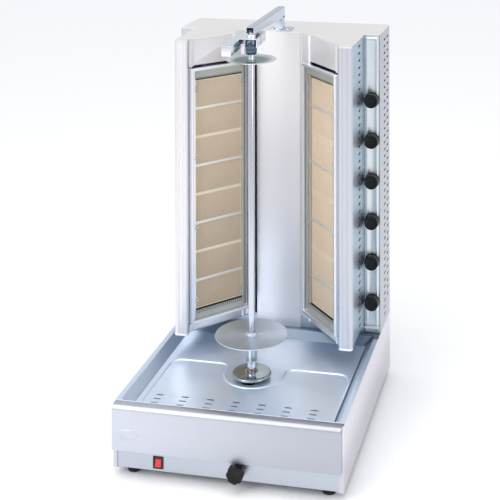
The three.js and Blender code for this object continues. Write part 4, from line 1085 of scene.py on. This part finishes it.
# top plate
half = [(HW, 667), (HW, 503), (246.5, 503), (246.5, 340.3), (208.5, 340.3), pan(UL + 4, -2), (63.7, 498)]
outl = half + [(-x, y) for x, y in reversed(half)]
p = Part()
p.plate(round_poly(outl, 2.0, 3), [], TOP - 1.5, TOP)
piece("top_cover", p, warm_y, "frame", ("top_plate",), brush="X", bevel=0.5)

# knob strip: raised channel with rounded ends
b = B("knob_strip")
x0, x1, z0, z1 = b[0], b[3], b[2], b[5]
p = Part()
knob_z = [(B(f"gas_knob_{i}")[2] + B(f"gas_knob_{i}")[5]) / 2 for i in range(1, 7)]
kx2 = (B("gas_knob_1")[0] + B("gas_knob_1")[3]) / 2
p.plate([(x0, z0), (x1, z0), (x1, z1), (x0, z1)], [circle(kx2, z, 6, 20) for z in knob_z], 503, 504.5, fn=YF)
for xa, xb in ((x0, x0 + 1.5), (x1 - 1.5, x1)):
    p.rbox(xa, xb, z0, z1, 503.2, 516.5, 0.4, fn=YF)
cx0, cx1, cz0, cz1 = x0 + 2.6, x1 - 2.6, z0 + 5, z1 - 6
prof = [(0, 503.2, 5), (0.0, 502.0, 5), (0.5, 500.8, 4.6), (1.5, 500.0, 4.2), (2.9, 499.6, 3.6), (5.2, 499.6, 3.0), (6.0, 499.9, 2.6), (6.4, 500.6, 2.4), (6.8, 500.9, 2.2)]
p.loft([[(x, z, y) for x, z in rrect(cx0 + g, cx1 - g, cz0 + g, cz1 - g, r, 6)] for g, y, r in prof] , fn=YF, cap0=False, cap1=True)
p.loft([[(x, y, z) for y, z in ((503.4, 204.6), (500.0, 204.2), (497.2, 202.8), (495.6, 200.4), (495.2, 197.2), (496.4, 196.2), (497.0, 197.6), (497.8, 199.8), (499.6, 201.4), (503.4, 202.2))] for x in (x0, x0 + 0.3, x1 - 0.3, x1)])
p.rbox(x0, x1, 182.0, 196.0, 505.0, 506.4, 0.4, fn=YF)
piece("knob_channel", p, strip_mat, "frame", ("knob_strip",), brush="Z")
# steel washers behind the knobs
p = Part()
for z in knob_z:
    p.lathe([(9, -500.7), (15.5, -500.7), (16.2, -500.2), (15.8, -499.5), (9, -499.5)], kx2, z, 48, ring=True, fn=lambda x, zz2, h: (x, -h, zz2))
piece("knob_washers", p, chrome_mat, "frame")

# screws on the rear panels
p = Part()
for x in (-278, 278):
    for z in (40, 160):
        p.lathe([(4.0, 667.0), (4.0, 667.8), (3.2, 668.8), (1.4, 669.2)], x, z, 24, fn=lambda x, z, h: (x, h, z))
for x in (-282, -95, 95, 282):
    for z in (196, 1000):
        p.lathe([(4.0, 667.0), (4.0, 667.8), (3.2, 668.8), (1.4, 669.2)], x, z, 24, fn=lambda x, z, h: (x, h, z))
for x in (-282, 282):
    for z in (400, 600, 800):
        p.lathe([(4.0, 667.0), (4.0, 667.8), (3.2, 668.8), (1.4, 669.2)], x, z, 24, fn=lambda x, z, h: (x, h, z))
piece("rear_screws", p, chrome_mat, "frame")

# ------------------------------------------------------------------ stage, light, camera
me = bpy.data.meshes.new("floor")
me.from_pydata([(-40, -40, 0), (40, -40, 0), (40, 40, 0), (-40, 40, 0)], [], [(0, 1, 2, 3)])
floor = bpy.data.objects.new("floor", me)
bpy.context.scene.collection.objects.link(floor)
fm = Mat("floor_pale")
fn_ = fm.noise(fm.coord((0.6, 0.6, 0.6)), 1.0, 3.0, 0.5)
fm.set(Base_Color=fm.mix(fn_, lin(250, 250, 250), lin(253, 253, 253)), Roughness=0.75)
me.materials.append(fm.m)

world = bpy.data.worlds.new("studio")
bpy.context.scene.world = world
world.use_nodes = True
nt = world.node_tree
nt.nodes.clear()
wo = nt.nodes.new("ShaderNodeOutputWorld")
bg = nt.nodes.new("ShaderNodeBackground")
tc = nt.nodes.new("ShaderNodeTexCoord")
sep = nt.nodes.new("ShaderNodeSeparateXYZ")
nt.links.new(tc.outputs["Generated"], sep.inputs[0])
cr = nt.nodes.new("ShaderNodeValToRGB")
mr = nt.nodes.new("ShaderNodeMapRange")
mr.inputs["From Min"].default_value = -0.2
mr.inputs["From Max"].default_value = 1.0
nt.links.new(sep.outputs[2], mr.inputs["Value"])
nt.links.new(mr.outputs[0], cr.inputs[0])
e = cr.color_ramp.elements
e[0].position, e[0].color = 0.0, (0.93, 0.935, 0.945, 1)
e[1].position, e[1].color = 1.0, (0.89, 0.90, 0.935, 1)
m1 = e.new(0.30)
m1.color = (0.93, 0.935, 0.95, 1)
m2 = e.new(0.62)
m2.color = (0.80, 0.82, 0.875, 1)
nt.links.new(cr.outputs[0], bg.inputs[0])
bg.inputs[1].default_value = 0.80
nt.links.new(bg.outputs[0], wo.inputs[0])


def area(name, loc, target, size, power, color=(1, 1, 1), size_y=None):
    l = bpy.data.lights.new(name, "AREA")
    l.energy, l.size, l.color = power, size, color
    if size_y:
        l.shape, l.size_y = "RECTANGLE", size_y
    ob = bpy.data.objects.new(name, l)
    ob.location = loc
    ob.rotation_mode = "QUATERNION"
    ob.rotation_quaternion = (Vector(target) - Vector(loc)).to_track_quat("-Z", "Y")
    bpy.context.scene.collection.objects.link(ob)
    return ob


area("key", (-1.7, -3.0, 2.6), (0, 0, 0.5), 1.8, 34, (1.0, 0.99, 0.98))
area("fill", (2.9, -1.6, 1.9), (0, 0, 0.5), 1.6, 18, (0.95, 0.97, 1.0))
area("top", (0.2, -0.3, 3.3), (0, 0, 0.2), 2.2, 20, (1.0, 1.0, 1.0))
sun = bpy.data.lights.new("sky_panel", "SUN")
sun.energy, sun.angle, sun.color = 0.95, math.radians(70), (1.0, 1.0, 1.0)
sun_ob = bpy.data.objects.new("sky_panel", sun)
sun_ob.rotation_euler = (math.radians(22), math.radians(-16), 0)
bpy.context.scene.collection.objects.link(sun_ob)

cam = bpy.data.cameras.new("camera")
cam.sensor_width = 36
cam.lens = 1177.4925 * 36 / 500
cam_ob = bpy.data.objects.new("camera", cam)
yaw, pitch, roll = 0.2032, 0.0033, -0.0014
fwd = Vector((-math.sin(yaw) * math.cos(pitch), math.cos(yaw) * math.cos(pitch), -math.sin(pitch)))
right = Vector((math.cos(yaw), math.sin(yaw), 0))
upv = right.cross(fwd)
r2 = right * math.cos(roll) + upv * math.sin(roll)
u2 = -right * math.sin(roll) + upv * math.cos(roll)
rot = Matrix((r2, u2, -fwd)).transposed()
cam_ob.rotation_mode = "QUATERNION"
cam_ob.location = (0.852067, -2.721712 - YC / 1000, 1.626103)
cam_ob.rotation_quaternion = rot.to_quaternion()
SHX, SHY = (250 - 343.3375) / 500, (-181.5327 - 250) / 500
cam.clip_start, cam.clip_end = 0.05, 200
bpy.context.scene.collection.objects.link(cam_ob)
bpy.context.scene.camera = cam_ob
for path, val in (("shift_x", SHX), ("shift_y", SHY)):
    dr = cam.driver_add(path).driver
    dr.type = "SCRIPTED"
    for nm, ch in (("x", "LOC_X"), ("y", "LOC_Y")):
        v = dr.variables.new()
        v.name, v.type = nm, "TRANSFORMS"
        v.targets[0].id, v.targets[0].transform_type, v.targets[0].transform_space = cam_ob, ch, "WORLD_SPACE"
    dr.expression = "%.6f if abs(x - %.6f) < 0.01 and abs(y + %.6f) < 0.01 else 0.0" % (val, cam_ob.location.x, -cam_ob.location.y)
bpy.context.scene.view_settings.view_transform = "Standard"
bpy.context.scene.view_settings.look = "None"
